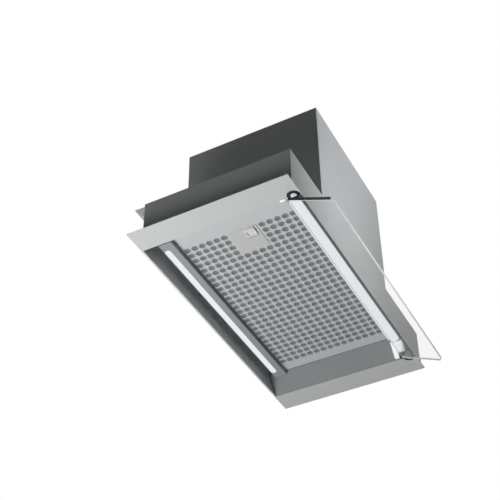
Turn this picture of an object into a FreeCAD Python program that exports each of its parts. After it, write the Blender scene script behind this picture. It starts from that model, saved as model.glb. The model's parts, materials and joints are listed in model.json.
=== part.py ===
"""Built-in range hood for the base of a wall cabinet, 600 mm wide.

The frame stands still with X along the hood's width, -Y towards the cook and +Z up.
Its origin is the centre of the four cabinet screws, on top of the lower casing.
Left is -X and right is +X, as the cook sees them. All lengths are millimetres.
"""
import FreeCAD, Part
import math
import os
import re
import Sketcher

os.makedirs("parts", exist_ok=True)
doc = FreeCAD.newDocument("RangeHood")

# Driving dimensions, grouped by the piece that they belong to.
DIMENSIONS = {
    # bottom frame and the recess in it
    "frame_length": 600.0,
    "frame_depth": 302.0,
    "frame_sheet": 1.2,
    "end_flange": 48.8,
    "lip_width": 3.5,
    "hem_height": 5.0,
    "recess_depth": 36.0,
    "slope_run": 25.8,
    "slope_sheet": 1.0,
    "guide_height": 12.0,
    # lower casing, its fixings and the rear channel and rail
    "casing_end_inset": 17.0,
    "channel_depth": 18.0,
    "casing_height": 75.0,
    "casing_sheet": 1.0,
    "casing_inset": 1.5,
    "passage_length": 210.0,
    "passage_setback": 10.0,
    "fixing_inset": 28.0,
    "fixing_spacing_y": 200.0,
    "fixing_radius": 2.75,
    "rail_end_inset": 5.0,
    "rail_reach": 23.0,
    "rail_drop": 28.0,
    "rail_sheet": 1.5,
    "rail_hole_spacing": 400.0,
    # motor housing and duct
    "housing_length": 288.0,
    "housing_setback": 6.5,
    "housing_height": 244.0,
    "housing_sheet": 1.0,
    "housing_flange": 12.0,
    "duct_radius": 74.5,
    "duct_wall": 1.5,
    "duct_height": 45.0,
    "duct_flange": 13.5,
    "stop_width": 2.5,
    "stop_height": 1.5,
    "rod_height": 20.0,
    "rod_radius": 2.0,
    "flap_sheet": 1.2,
    "flap_gap": 1.5,
    "knuckle_wall": 1.5,
    # fan
    "fan_height": 106.0,
    "scroll_front_gap": 15.0,
    "scroll_width": 104.0,
    "scroll_radius": 82.0,
    "scroll_growth": 16.0,
    "scroll_sheet": 1.2,
    "neck_depth": 112.0,
    "impeller_radius": 75.0,
    "impeller_width": 76.0,
    "impeller_sheet": 2.0,
    "blade_depth": 10.0,
    "blade_sheet": 1.0,
    "blade_angle": 35.0,
    "blade_count": 28.0,
    "hub_radius": 12.0,
    "hub_length": 28.0,
    "shaft_radius": 4.0,
    "shaft_length": 96.0,
    "nut_height": 7.0,
    "nut_radius": 7.5,
    "inlet_radius": 64.0,
    "inlet_depth": 11.0,
    "motor_radius": 40.0,
    "motor_length": 54.0,
    "motor_boss": 14.0,
    "bracket_sheet": 2.0,
    "bracket_radius": 48.0,
    "mount_circle": 30.0,
    "mount_radius": 6.0,
    "mount_height": 4.0,
    "capacitor_radius": 12.0,
    "capacitor_height": 55.0,
    "capacitor_setback": 79.5,
    # lamps
    "air_slot": 12.2,
    "lamp_drop": 10.0,
    "lamp_width": 24.8,
    "lamp_end_gap": 0.9,
    "lamp_wall": 1.0,
    "front_lens_width": 22.8,
    "front_lens_inset": 1.5,
    "rear_lens_width": 11.0,
    "rear_lens_inset": 16.5,
    "lens_sheet": 2.0,
    "lens_proud": 0.5,
    "board_width": 8.0,
    "board_sheet": 1.2,
    "end_cap_low": 2.0,
    "end_cap_step": 12.2,
    "end_cap_high": 29.0,
    "end_cap_sheet": 5.0,
    "driver_length": 80.0,
    "driver_depth": 40.0,
    "driver_height": 21.0,
    # filter cassette and its latch
    "filter_end_gap": 1.9,
    "filter_gap": 0.7,
    "filter_sheet": 1.0,
    "filter_height": 12.0,
    "filter_lip": 6.0,
    "mesh_sheet": 0.8,
    "hole_radius": 4.75,
    "hole_pitch_x": 15.0,
    "hole_pitch_y": 14.7,
    "hole_margin_left": 43.1,
    "hole_margin_right": 28.9,
    "hole_margin_side": 6.9,
    "filter_pin_inset": 5.5,
    "filter_pin_rise": 4.0,
    "filter_pin_radius": 2.0,
    "latch_setback": 65.5,
    "latch_y": 7.35,
    "latch_length": 57.0,
    "latch_width": 54.0,
    "latch_sheet": 1.2,
    "grip_setback": 49.5,
    "grip_y": 19.0,
    "grip_size": 20.0,
    "grip_depth": 4.0,
    "latch_travel": 4.0,
    "slide_setback": 73.5,
    "latch_slide_width": 24.0,
    "latch_slide_sheet": 2.0,
    "tongue_width": 14.0,
    "shoulder_setback": 18.5,
    "spring_radius": 1.7,
    "spring_wire": 0.6,
    "spring_length": 5.7,
    # glass visor and its hinges
    "visor_droop": 23.5,
    "visor_reach": 73.5,
    "visor_inner": 11.0,
    "visor_glass": 4.0,
    "visor_end_room": 6.2,
    "visor_clearance": 1.0,
    "pivot_setback": 11.5,
    "pivot_rise": 7.5,
    "arm_width": 3.5,
    "arm_length": 20.0,
    "arm_hub": 7.5,
    "arm_room": 8.0,
    "strip_setback": 4.0,
    "visor_pin_radius": 2.0,
    "visor_pin_length": 14.0,
    "hinge_offset": 0.3,
    "hinge_setback": 13.0,
    "hinge_radius": 11.2,
    "hinge_height": 16.0,
    "hinge_seat": 20.0,
    "hinge_seat_sheet": 1.5,
    "cap_radius": 5.5,
    "cap_sheet": 1.5,
    "cap_proud": 0.5,
    "seal_height": 0.6,
    "seal_inset": 5.0,
    "switch_size": 14.0,
    # mains connection
    "box_gap": 6.0,
    "box_length": 67.0,
    "box_depth": 70.0,
    "box_height": 34.0,
    "box_wall": 1.5,
    "gland_radius": 10.0,
    "gland_bore": 4.0,
    "gland_length": 14.0,
    "cable_hole": 7.0,
    "terminal_length": 40.0,
    "terminal_height": 16.0,
    # screws and shared clearances
    "screw_radius": 2.0,
    "screw_head": 4.0,
    "screw_head_height": 2.4,
    "screw_length": 8.0,
    "fit_gap": 0.05,
    "part_gap": 0.3,
    "hinge_gap": 0.5,
}

sizes = doc.addObject("Spreadsheet::Sheet", "Sizes")
for row, (alias, number) in enumerate(DIMENSIONS.items(), start=1):
    sizes.set(f"A{row}", alias)
    sizes.set(f"B{row}", str(number))
    sizes.setAlias(f"B{row}", alias)
doc.recompute()

pieces = []

# Levels and faces that several pieces share, as formulas of the driving dimensions.
UNDERSIDE = "(-casing_height)"
FLANGE_TOP = "(frame_sheet - casing_height)"
FILTER_LEVEL = "(recess_depth - casing_height)"
GUIDE_TOP = "(recess_depth + guide_height - casing_height)"
LAMP_LEVEL = "(recess_depth - lamp_drop - casing_height)"
CASING_FRONT = "(casing_inset - frame_depth / 2)"
CASING_REAR = "(frame_depth / 2 - lip_width - channel_depth)"
CASING_END = "(frame_length / 2 - casing_end_inset)"
FIXING_X = "(frame_length / 2 - casing_end_inset - fixing_inset)"
RAIL_END = "(frame_length / 2 - casing_end_inset - rail_end_inset)"
RECESS_END = "(frame_length / 2 - end_flange)"
RECESS_SIDE = "(frame_depth / 2 - lip_width)"
SLOPE_END = "(frame_length / 2 - end_flange - slope_run)"
CHANNEL_END = "(frame_length / 2 - end_flange + 2 * slope_sheet)"
CHANNEL_TOP = "(recess_depth + guide_height - 2 * frame_sheet - casing_height)"
HOUSING_FRONT = "(casing_inset - frame_depth / 2 + housing_setback)"
HOUSING_TOP = "(housing_height - housing_sheet)"
FLANGE_RIM = "(housing_sheet + housing_flange)"
FAN_Y = f"({HOUSING_FRONT} + housing_sheet + scroll_front_gap + scroll_radius)"
NECK_REAR = f"({FAN_Y} + scroll_radius + 3 * scroll_growth)"
DUCT_Y = f"({NECK_REAR} - neck_depth / 2)"
FAN_AXIS = (FAN_Y, "fan_height")
BOX_X = "(housing_length / 2 + box_gap + box_length)"
LAMP_SIDE = "(frame_depth / 2 - lip_width - air_slot)"
GUIDE_SIDE = "(frame_depth / 2 - lip_width - air_slot - lamp_width)"
LAMP_END = "(frame_length / 2 - end_flange - slope_run - lamp_end_gap)"
FILTER_SIDE = "(frame_depth / 2 - lip_width - air_slot - lamp_width - filter_gap)"
FILTER_END = "(frame_length / 2 - end_flange - slope_run - filter_end_gap)"
LATCH_X = f"({FILTER_END} - latch_setback)"
GRIP_X = f"({FILTER_END} - grip_setback)"
SLIDE_END = f"({FILTER_END} - slide_setback)"
SHOULDER = f"({FILTER_END} - shoulder_setback)"
ARM_SIDE = f"({RECESS_END} - visor_end_room)"
ARM_OUTSIDE = f"({ARM_SIDE} + arm_width)"
HINGE_SIDE = f"({ARM_OUTSIDE} + hinge_gap)"
HINGE_X = f"({RECESS_END} + hinge_offset)"
HINGE_Y = "(frame_depth / 2 - hinge_setback)"
PIVOT_Y = "(frame_depth / 2 - pivot_setback)"
ARM_ROOM_Y = f"(visor_inner + arm_room - {PIVOT_Y})"
VISOR_TOP = "(-pivot_rise - visor_clearance)"
VISOR_BOTTOM = "(-pivot_rise - visor_clearance - visor_glass)"
PIVOT_Z = "(pivot_rise - casing_height)"
FILTER_PIN_X = f"({FILTER_END} - filter_pin_inset)"
FILTER_PIN_Z = "(recess_depth + filter_pin_rise - casing_height)"
ROD_Z = "(housing_height + rod_height)"

ENDS = (("left", -1), ("right", 1))
ROUNDING = 1e-6


def size(name):
    """The number that the sheet holds under a name."""
    return float(sizes.get(name))


def formula(text):
    """Prefix each driving dimension in a formula with the sheet's name."""
    def prefixed(match):
        word = match.group()
        return "Sizes." + word if word in DIMENSIONS else word
    return re.sub(r"[a-z_][a-z_0-9]*", prefixed, text)


def worked_out(text):
    """The value of a formula of driving dimensions."""
    def number(match):
        return repr(size(match.group(1)))
    expression = re.sub(r"Sizes\.([a-z_0-9]+)", number, formula(text))
    return FreeCAD.Units.Quantity(expression).Value


def keep(shape, label):
    """Give a finished piece the name it is written under."""
    shape.Label = label
    pieces.append(shape)
    return shape


def span(sign, low, high):
    """A stretch along X on the right-hand side, or its mirror image on the left."""
    if sign > 0:
        return (low, high)
    return (f"-({high})", f"-({low})")


def box(name, along_x, along_y, along_z):
    """A block between two formulas along each axis."""
    block = doc.addObject("Part::Box", name)
    sides = (("Length", "x", along_x), ("Width", "y", along_y), ("Height", "z", along_z))
    for side, axis, (low, high) in sides:
        block.setExpression(side, formula(f"({high}) - ({low})"))
        block.setExpression(f"Placement.Base.{axis}", formula(low))
    return block


def rod(name, radius, centre, along, direction="z"):
    """A cylinder along one axis, between two formulas; centre gives the other two places."""
    cylinder = doc.addObject("Part::Cylinder", name)
    low, high = along
    cylinder.setExpression("Radius", formula(radius))
    cylinder.setExpression("Height", formula(f"({high}) - ({low})"))
    places = dict(zip([axis for axis in "xyz" if axis != direction], centre))
    places[direction] = low
    turns = {"x": (FreeCAD.Vector(0, 1, 0), 90), "y": (FreeCAD.Vector(1, 0, 0), -90)}
    if direction in turns:
        cylinder.Placement.Rotation = FreeCAD.Rotation(*turns[direction])
    for axis, place in places.items():
        cylinder.setExpression(f"Placement.Base.{axis}", formula(place))
    return cylinder


def fuse(name, shapes):
    """Several solids that are one piece."""
    joined = doc.addObject("Part::MultiFuse", name)
    joined.Shapes = shapes
    joined.Refine = True
    return joined


def cut(name, base, tools):
    """A solid with other solids taken out of it."""
    remaining = doc.addObject("Part::Cut", name)
    remaining.Base = base
    remaining.Tool = tools[0] if len(tools) == 1 else fuse(name + "_tools", tools)
    remaining.Refine = True
    return remaining


def group(name, shapes):
    """Separate solids that share one name, such as a set of screws."""
    together = doc.addObject("Part::Compound", name)
    together.Links = shapes
    return together


def slot(name, half_length, along_y, along_z):
    """A long block along X with half-round ends."""
    low, high = along_y
    radius = f"(({high}) - ({low})) / 2"
    middle = f"(({high}) + ({low})) / 2"
    straight = f"({half_length}) - {radius}"
    parts = [box(name + "_straight", (f"-({straight})", straight), along_y, along_z)]
    for side, sign in ENDS:
        parts.append(rod(f"{name}_{side}", radius, (f"{sign} * ({straight})", middle), along_z))
    return fuse(name, parts)


def new_sketch(body, name, role):
    """A sketch on one of a body's own origin planes."""
    drawing = body.newObject("Sketcher::SketchObject", name)
    plane = next(item for item in body.Origin.OriginFeatures if item.Role == role)
    drawing.AttachmentSupport = [(plane, "")]
    drawing.MapMode = "FlatFace"
    return drawing


def outline(drawing, points):
    """A closed outline of straight lines; each corner is a pair of formulas."""
    corners = [FreeCAD.Vector(worked_out(a), worked_out(b), 0) for a, b in points]
    lines = []
    for index, corner in enumerate(corners):
        following = corners[(index + 1) % len(corners)]
        lines.append(drawing.addGeometry(Part.LineSegment(corner, following), False))
    for index, line in enumerate(lines):
        following = lines[(index + 1) % len(lines)]
        drawing.addConstraint(Sketcher.Constraint("Coincident", line, 2, following, 1))
    for line, corner, (across, upward) in zip(lines, corners, points):
        for kind, number, text in (("DistanceX", corner.x, across), ("DistanceY", corner.y, upward)):
            at = drawing.addConstraint(Sketcher.Constraint(kind, -1, 1, line, 1, number))
            drawing.setExpression(f"Constraints[{at}]", formula(text))
    return lines


def ring(drawing, radius):
    """A circle about the sketch's origin."""
    circle = Part.Circle(FreeCAD.Vector(0, 0, 0), FreeCAD.Vector(0, 0, 1), worked_out(radius))
    line = drawing.addGeometry(circle, False)
    drawing.addConstraint(Sketcher.Constraint("Coincident", line, 3, -1, 1))
    at = drawing.addConstraint(Sketcher.Constraint("Radius", line, worked_out(radius)))
    drawing.setExpression(f"Constraints[{at}]", formula(radius))


def pad(body, drawing, length, midplane=False, downward=False):
    """Give a sketch its thickness."""
    feature = body.newObject("PartDesign::Pad", drawing.Name + "_pad")
    feature.Profile = drawing
    feature.Midplane = midplane
    feature.Reversed = downward
    feature.setExpression("Length", formula(length))
    return feature


def turned(name, points, direction, centre, along):
    """A turned piece: pairs of radius and height, spun about an axis through a place.

    centre gives the two places across the axis, and along the place where height is nought.
    """
    body = doc.addObject("PartDesign::Body", name)
    drawing = new_sketch(body, name + "_section", "XZ_Plane")
    outline(drawing, points)
    spin = body.newObject("PartDesign::Revolution", name + "_spin")
    spin.Profile = drawing
    spin.ReferenceAxis = (drawing, ["V_Axis"])
    spin.Angle = 360
    body.Tip = spin
    place_along(body, direction, centre, along)
    return body


def place_along(body, direction, centre, along):
    """Turn a body's own Z to an axis and set it at a place."""
    turns = {"x": (FreeCAD.Vector(0, 1, 0), 90), "y": (FreeCAD.Vector(1, 0, 0), -90)}
    if direction in turns:
        body.Placement.Rotation = FreeCAD.Rotation(*turns[direction])
    places = dict(zip([axis for axis in "xyz" if axis != direction], centre))
    places[direction] = along
    for axis, place in places.items():
        body.setExpression(f"Placement.Base.{axis}", formula(place))


def screws(name, places, level, upward=True):
    """Pan-head screws along Z whose heads sit on one level."""
    solids = []
    for index, place in enumerate(places):
        head = (level, f"{level} + screw_head_height")
        shank = (f"{level} - screw_length", level)
        if not upward:
            head = (f"{level} - screw_head_height", level)
            shank = (level, f"{level} + screw_length")
        top = rod(f"{name}_head_{index}", "screw_head", place, head)
        stem = rod(f"{name}_stem_{index}", "screw_radius", place, shank)
        solids.append(fuse(f"{name}_{index}", [top, stem]))
    return solids


def screw_holes(name, places, along_z):
    """Holes for a set of screws along Z."""
    return [rod(f"{name}_{index}", "screw_radius", place, along_z)
            for index, place in enumerate(places)]


# --- bottom frame -------------------------------------------------------------------------
def make_bottom_frame():
    """The flat frame that shows under the cabinet, with a notch at each visor hinge."""
    half_length = "frame_length / 2"
    half_depth = "frame_depth / 2"
    plate = box("frame_plate", (f"-{half_length}", half_length), (f"-{half_depth}", half_depth),
                (UNDERSIDE, FLANGE_TOP))
    opening = box("frame_opening", (f"-{RECESS_END}", RECESS_END), (f"-{RECESS_SIDE}", RECESS_SIDE),
                  (f"{UNDERSIDE} - part_gap", f"{FLANGE_TOP} + part_gap"))
    notches = []
    for side, sign in ENDS:
        centre = (f"{sign} * {HINGE_X}", f"-{HINGE_Y}")
        notches.append(rod(f"frame_notch_{side}", "hinge_radius + hinge_gap", centre,
                           (f"{UNDERSIDE} - part_gap", f"{FLANGE_TOP} + part_gap")))
    flat = cut("frame_flat", plate, [opening] + notches)
    hem_end = f"({SLOPE_END})"
    hem_level = (FLANGE_TOP, f"{FLANGE_TOP} + hem_height")
    front_hem = box("frame_front_hem", (f"-{hem_end}", hem_end),
                    (f"-{RECESS_SIDE} - slope_sheet", f"-{RECESS_SIDE}"), hem_level)
    rear_hem = box("frame_rear_hem", (f"-{hem_end}", hem_end),
                   (RECESS_SIDE, f"{RECESS_SIDE} + slope_sheet"), hem_level)
    return keep(fuse("bottom_frame_solid", [flat, front_hem, rear_hem]), "bottom_frame")


def make_inlet_slope(side, sign):
    """The sloping sheet at one end of the recess, with the guide that the cassette meets."""
    body = doc.addObject("PartDesign::Body", f"slope_{side}_sheet")
    drawing = new_sketch(body, f"slope_{side}_section", "XZ_Plane")
    foot = f"({RECESS_END} - slope_run * frame_sheet / recess_depth)"
    shift = "(slope_sheet * sqrt(slope_run * slope_run + recess_depth * recess_depth) / recess_depth)"
    knee = f"({FILTER_LEVEL} + ({shift} - slope_sheet) * recess_depth / slope_run)"
    corners = [
        (foot, FLANGE_TOP),
        (SLOPE_END, FILTER_LEVEL),
        (SLOPE_END, GUIDE_TOP),
        (f"{SLOPE_END} + slope_sheet", GUIDE_TOP),
        (f"{SLOPE_END} + slope_sheet", knee),
        (f"{foot} + {shift}", FLANGE_TOP),
    ]
    outline(drawing, [(f"{sign} * ({across})", upward) for across, upward in corners])
    body.Tip = pad(body, drawing, f"2 * {RECESS_SIDE}", midplane=True)
    clear_of_hinge = box(f"slope_{side}_notch", span(sign, f"{ARM_SIDE} - 2", f"{RECESS_END} + 2"),
                         (f"-{RECESS_SIDE} - 1", ARM_ROOM_Y),
                         (UNDERSIDE, f"{PIVOT_Z} + arm_hub + 2 * hinge_gap"))
    clear_of_channel = box(f"slope_{side}_rear_notch", span(sign, f"{SLOPE_END} - 1", f"{RECESS_END} + 2"),
                           (f"{CASING_REAR} - 2 * casing_sheet", f"{RECESS_SIDE} + 1"),
                           (f"{CHANNEL_TOP} - slope_sheet - part_gap", f"{GUIDE_TOP} + 1"))
    return keep(cut(f"slope_{side}_solid", body, [clear_of_hinge, clear_of_channel]), f"inlet_slope_{side}")


def make_lamp_rail(name, sign):
    """A sheet rail between the slopes: it carries a lamp below and guides the cassette."""
    inside = GUIDE_SIDE
    web_edge = f"({LAMP_SIDE} + casing_inset)"
    web_y = (inside, web_edge) if sign > 0 else (f"-{web_edge}", f"-{inside}")
    guide = (inside, f"{inside} + slope_sheet") if sign > 0 else (f"-{inside} - slope_sheet", f"-{inside}")
    level = (FILTER_LEVEL, f"{FILTER_LEVEL} + slope_sheet")
    web = box(f"{name}_web", (f"-{SLOPE_END}", SLOPE_END), web_y, level)
    wall = box(f"{name}_guide", (f"-{SLOPE_END}", SLOPE_END), guide, (FILTER_LEVEL, GUIDE_TOP))
    pin_hole = rod(f"{name}_pin_hole", "filter_pin_radius + fit_gap", (FILTER_PIN_X, FILTER_PIN_Z),
                   (f"{guide[0]} - 1", f"{guide[1]} + 1"), "y")
    return keep(cut(f"{name}_solid", fuse(f"{name}_sheet", [web, wall]), [pin_hole]), name)


# --- lower casing -------------------------------------------------------------------------
def fixing_places():
    """The four cabinet screws, about the origin."""
    return [(f"{a} * {FIXING_X}", f"{b} * fixing_spacing_y / 2") for a in (-1, 1) for b in (-1, 1)]


def housing_screw_places():
    """Screws through the housing's inner flange, three along the front and three behind."""
    rows = (f"{HOUSING_FRONT} + housing_sheet + housing_flange / 2",
            f"{CASING_REAR} - housing_sheet - housing_flange / 2")
    return [(f"{step} * housing_length / 3", row) for row in rows for step in (-1, 0, 1)]


def make_lower_casing():
    """The low box that drops into the cabinet's cut-out and stands on the frame."""
    end = CASING_END
    wall = "casing_sheet"
    outside = box("casing_block", (f"-{end}", end), (CASING_FRONT, CASING_REAR), (FLANGE_TOP, "0"))
    inside = box("casing_hollow", (f"{wall} - {end}", f"{end} - {wall}"),
                 (f"{CASING_FRONT} + {wall}", f"{CASING_REAR} - {wall}"), (f"{UNDERSIDE}", f"-{wall}"))
    passage = box("casing_passage", ("-passage_length / 2", "passage_length / 2"),
                  (f"{HOUSING_FRONT} + {FLANGE_RIM} + passage_setback",
                   f"{CASING_REAR} - {FLANGE_RIM} - passage_setback"), (f"-2 * {wall}", wall))
    channel_notch = box("casing_channel_notch", (f"-{CHANNEL_END}", CHANNEL_END),
                        (f"{CASING_REAR} - 2 * {wall}", f"{CASING_REAR} + {wall}"), (UNDERSIDE, CHANNEL_TOP))
    fixings = [rod(f"casing_fixing_{index}", "fixing_radius", place, (f"-2 * {wall}", wall))
               for index, place in enumerate(fixing_places())]
    cable = rod("casing_cable_hole", "cable_hole", (f"box_length / 2 - {BOX_X}", "0"),
                (f"-2 * {wall}", wall))
    tapped = screw_holes("casing_screw_hole", housing_screw_places(), (f"-2 * {wall}", wall))
    rail_taps = [rod(f"casing_rail_hole_{index}", "screw_radius", place,
                     (f"{CASING_REAR} - 2 * {wall}", f"{CASING_REAR} + {wall}"), "y")
                 for index, place in enumerate(rail_screw_places())]
    tools = [inside, passage, channel_notch, cable] + fixings + tapped + rail_taps
    return keep(cut("casing_solid", outside, tools), "lower_casing")


def make_rear_air_channel():
    """The dark channel behind the rear lamp, where the recess is deeper than the casing."""
    end = CHANNEL_END
    back = f"({RECESS_SIDE} + slope_sheet)"
    block = box("channel_block", (f"-{end} - slope_sheet", f"{end} + slope_sheet"),
                (CASING_REAR, f"{back} + slope_sheet"), (FLANGE_TOP, CHANNEL_TOP))
    hollow = box("channel_hollow", (f"-{end}", end), (f"{CASING_REAR} - slope_sheet", back),
                 (UNDERSIDE, f"{CHANNEL_TOP} - slope_sheet"))
    return keep(cut("channel_solid", block, [hollow]), "rear_air_channel")


def rail_screw_places():
    """Four screws through the upright of the hanging rail."""
    return [(f"{step} * 2 * {RAIL_END} / 5", "-rail_drop / 2") for step in (-2, -1, 1, 2)]


def make_rear_hanging_rail():
    """An angle on the casing's back, with two holes for hanging screws and a gusset at each end."""
    end = RAIL_END
    sheet = "rail_sheet"
    upright = box("rail_upright", (f"-{end}", end), (CASING_REAR, f"{CASING_REAR} + {sheet}"),
                  ("-rail_drop", "0"))
    ledge = box("rail_ledge", (f"-{end}", end), (CASING_REAR, f"{CASING_REAR} + rail_reach"),
                (f"-{sheet}", "0"))
    gussets = []
    for side, sign in ENDS:
        body = doc.addObject("PartDesign::Body", f"rail_gusset_{side}")
        drawing = new_sketch(body, f"rail_gusset_{side}_outline", "YZ_Plane")
        outline(drawing, [(f"{CASING_REAR} + {sheet} / 2", f"-{sheet} / 2"),
                          (f"{CASING_REAR} + rail_reach", f"-{sheet} / 2"),
                          (f"{CASING_REAR} + {sheet} / 2", "-rail_drop")])
        body.Tip = pad(body, drawing, sheet)
        body.setExpression("Placement.Base.x", formula(f"-{end}" if sign < 0 else f"{end} - {sheet}"))
        gussets.append(body)
    holes = [rod(f"rail_hang_hole_{side}", "fixing_radius",
                 (f"{sign} * rail_hole_spacing / 2", f"{CASING_REAR} + (rail_reach + {sheet}) / 2"),
                 (f"-2 * {sheet}", sheet)) for side, sign in ENDS]
    taps = [rod(f"rail_screw_hole_{index}", "screw_radius", place,
                (f"{CASING_REAR} - {sheet}", f"{CASING_REAR} + 2 * {sheet}"), "y")
            for index, place in enumerate(rail_screw_places())]
    sheet_metal = fuse("rail_sheet_metal", [upright, ledge] + gussets)
    return keep(cut("rail_solid", sheet_metal, holes + taps), "rear_hanging_rail")


def make_rail_screws():
    """Screws that hold the hanging rail to the casing's back."""
    solids = []
    for index, place in enumerate(rail_screw_places()):
        seat = f"({CASING_REAR} + rail_sheet)"
        head = rod(f"rail_screw_head_{index}", "screw_head", place,
                   (seat, f"{seat} + screw_head_height"), "y")
        stem = rod(f"rail_screw_stem_{index}", "screw_radius", place,
                   (f"{seat} - screw_length / 2", seat), "y")
        solids.append(fuse(f"rail_screw_{index}", [head, stem]))
    return keep(group("rail_screw_set", solids), "rail_screws")


# --- motor housing and duct ---------------------------------------------------------------
def make_motor_housing():
    """The tall box above the casing, with a flange turned in at its foot."""
    end = "housing_length / 2"
    sheet = "housing_sheet"
    rim = FLANGE_RIM
    outside = box("housing_block", (f"-{end}", end), (HOUSING_FRONT, CASING_REAR), ("0", HOUSING_TOP))
    hollow = box("housing_hollow", (f"{sheet} - {end}", f"{end} - {sheet}"),
                 (f"{HOUSING_FRONT} + {sheet}", f"{CASING_REAR} - {sheet}"),
                 (sheet, f"{HOUSING_TOP} + {sheet}"))
    mouth = box("housing_mouth", (f"{rim} - {end}", f"{end} - {rim}"),
                (f"{HOUSING_FRONT} + {rim}", f"{CASING_REAR} - {rim}"), (f"-{sheet}", f"2 * {sheet}"))
    holes = screw_holes("housing_screw_hole", housing_screw_places(), (f"-{sheet}", f"2 * {sheet}"))
    return keep(cut("housing_solid", outside, [hollow, mouth] + holes), "motor_housing")


def collar_screw_places():
    """Four screws in the duct collar's flange."""
    circle = "(duct_radius + duct_flange / 2) * cos(45)"
    return [(f"{a} * {circle}", f"{DUCT_Y} + {b} * {circle}") for a in (-1, 1) for b in (-1, 1)]


def make_housing_top():
    """The lid of the motor housing, with the fan's outlet hole."""
    end = "housing_length / 2"
    plate = box("top_plate", (f"-{end}", end), (HOUSING_FRONT, CASING_REAR),
                (HOUSING_TOP, "housing_height"))
    through = (f"{HOUSING_TOP} - housing_sheet", "housing_height + housing_sheet")
    neck_side = "(scroll_width / 2 - scroll_sheet)"
    round_part = rod("top_outlet_round", "duct_radius - duct_wall", ("0", DUCT_Y), through)
    neck_part = box("top_outlet_neck", (f"-{neck_side}", neck_side),
                    (f"{NECK_REAR} - neck_depth + scroll_sheet", f"{NECK_REAR} - scroll_sheet"), through)
    outlet = doc.addObject("Part::Common", "top_outlet")
    outlet.Base = round_part
    outlet.Tool = neck_part
    holes = screw_holes("top_screw_hole", collar_screw_places(), through)
    return keep(cut("top_solid", plate, [outlet] + holes), "housing_top")


def make_duct_collar():
    """The round collar that a 150 mm duct slides over, with a stop ring under the flaps."""
    inner = "(duct_radius - duct_wall)"
    stop = f"({inner} - stop_width)"
    stop_top = "(rod_height - flap_sheet / 2 - part_gap)"
    section = [
        (stop, f"{stop_top} - stop_height"),
        (inner, f"{stop_top} - stop_height"),
        (inner, "0"),
        ("duct_radius + duct_flange", "0"),
        ("duct_radius + duct_flange", "duct_wall"),
        ("duct_radius", "duct_wall"),
        ("duct_radius", "duct_height"),
        (inner, "duct_height"),
        (inner, stop_top),
        (stop, stop_top),
    ]
    body = turned("collar_turned", section, "z", ("0", DUCT_Y), "housing_height")
    across = (f"{DUCT_Y} - duct_radius - duct_wall", f"{DUCT_Y} + duct_radius + duct_wall")
    rod_hole = rod("collar_rod_hole", "rod_radius", ("0", ROD_Z), across, "y")
    holes = screw_holes("collar_screw_hole", collar_screw_places(),
                        ("housing_height - duct_wall", "housing_height + 2 * duct_wall"))
    return keep(cut("collar_solid", body, [rod_hole] + holes), "duct_collar")


def make_damper():
    """A rod across the collar and two half-round flaps that hang on it by knuckles."""
    across = (f"{DUCT_Y} - duct_radius", f"{DUCT_Y} + duct_radius")
    keep(rod("damper_rod_solid", "rod_radius", ("0", ROD_Z), across, "y"), "damper_rod")
    reach = "(duct_radius - duct_wall - 1.5 * flap_gap)"
    plate_z = (f"{ROD_Z} - flap_sheet / 2", f"{ROD_Z} + flap_sheet / 2")
    knuckle = f"({reach} / 4)"
    barrel = "rod_radius + fit_gap + knuckle_wall"
    for side, sign in ENDS:
        disc = rod(f"flap_disc_{side}", reach, ("0", DUCT_Y), plate_z)
        other_half = box(f"flap_other_half_{side}", span(-sign, f"-({barrel} + flap_gap)", f"{reach} + 1"),
                         (f"{DUCT_Y} - {reach} - 1", f"{DUCT_Y} + {reach} + 1"),
                         (f"{ROD_Z} - 1 * rod_height", f"{ROD_Z} + 1 * rod_height"))
        half_disc = cut(f"flap_half_{side}", disc, [other_half])
        solids = [half_disc]
        for step in (-3, -1, 1, 3):
            # right-hand knuckles fill one half of each quarter, left-hand ones the other half
            low = f"({DUCT_Y} + {step} * {knuckle} + {min(sign, 0)} * {knuckle} * 0.7 + flap_gap / 2)"
            stretch = (low, f"{low} + 0.7 * {knuckle} - flap_gap")
            solids.append(rod(f"flap_barrel_{side}_{step + 3}", barrel, ("0", ROD_Z), stretch, "y"))
            leaf_x = span(sign, "0", f"{barrel} + 2 * flap_gap")
            solids.append(box(f"flap_leaf_{side}_{step + 3}", leaf_x, stretch, plate_z))
        whole = fuse(f"flap_whole_{side}", solids)
        bore = rod(f"flap_bore_{side}", "rod_radius + fit_gap", ("0", ROD_Z),
                   (f"{DUCT_Y} - {reach}", f"{DUCT_Y} + {reach}"), "y")
        keep(cut(f"flap_solid_{side}", whole, [bore]), f"damper_flap_{side}")


# --- fan ----------------------------------------------------------------------------------
def scroll_wire(inset, top):
    """The fan scroll's outline: three quarter arcs that widen, and a neck that goes up."""
    growth = size("scroll_growth")
    radius = size("scroll_radius") - inset
    first = FreeCAD.Vector(0, worked_out(FAN_Y), size("fan_height"))
    centres = [first, first + FreeCAD.Vector(0, growth, 0), first + FreeCAD.Vector(0, growth, growth)]
    edges = []
    for index, centre in enumerate(centres):
        reach = radius + index * growth
        points = []
        for degrees in (90, 135, 180):
            angle = math.radians(degrees + 90 * index)
            points.append(centre + FreeCAD.Vector(0, reach * math.cos(angle), reach * math.sin(angle)))
        edges.append(Part.Arc(*points).toShape())
    start = edges[0].Vertexes[0].Point
    outer_foot = edges[-1].Vertexes[-1].Point
    neck_outer = outer_foot.y
    neck_inner = neck_outer + inset - size("neck_depth") + inset
    corners = [
        outer_foot,
        FreeCAD.Vector(0, neck_outer, top),
        FreeCAD.Vector(0, neck_inner, top),
        FreeCAD.Vector(0, neck_inner, start.z + growth),
        start,
    ]
    for low, high in zip(corners, corners[1:]):
        edges.append(Part.LineSegment(low, high).toShape())
    return Part.Wire(edges)


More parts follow.
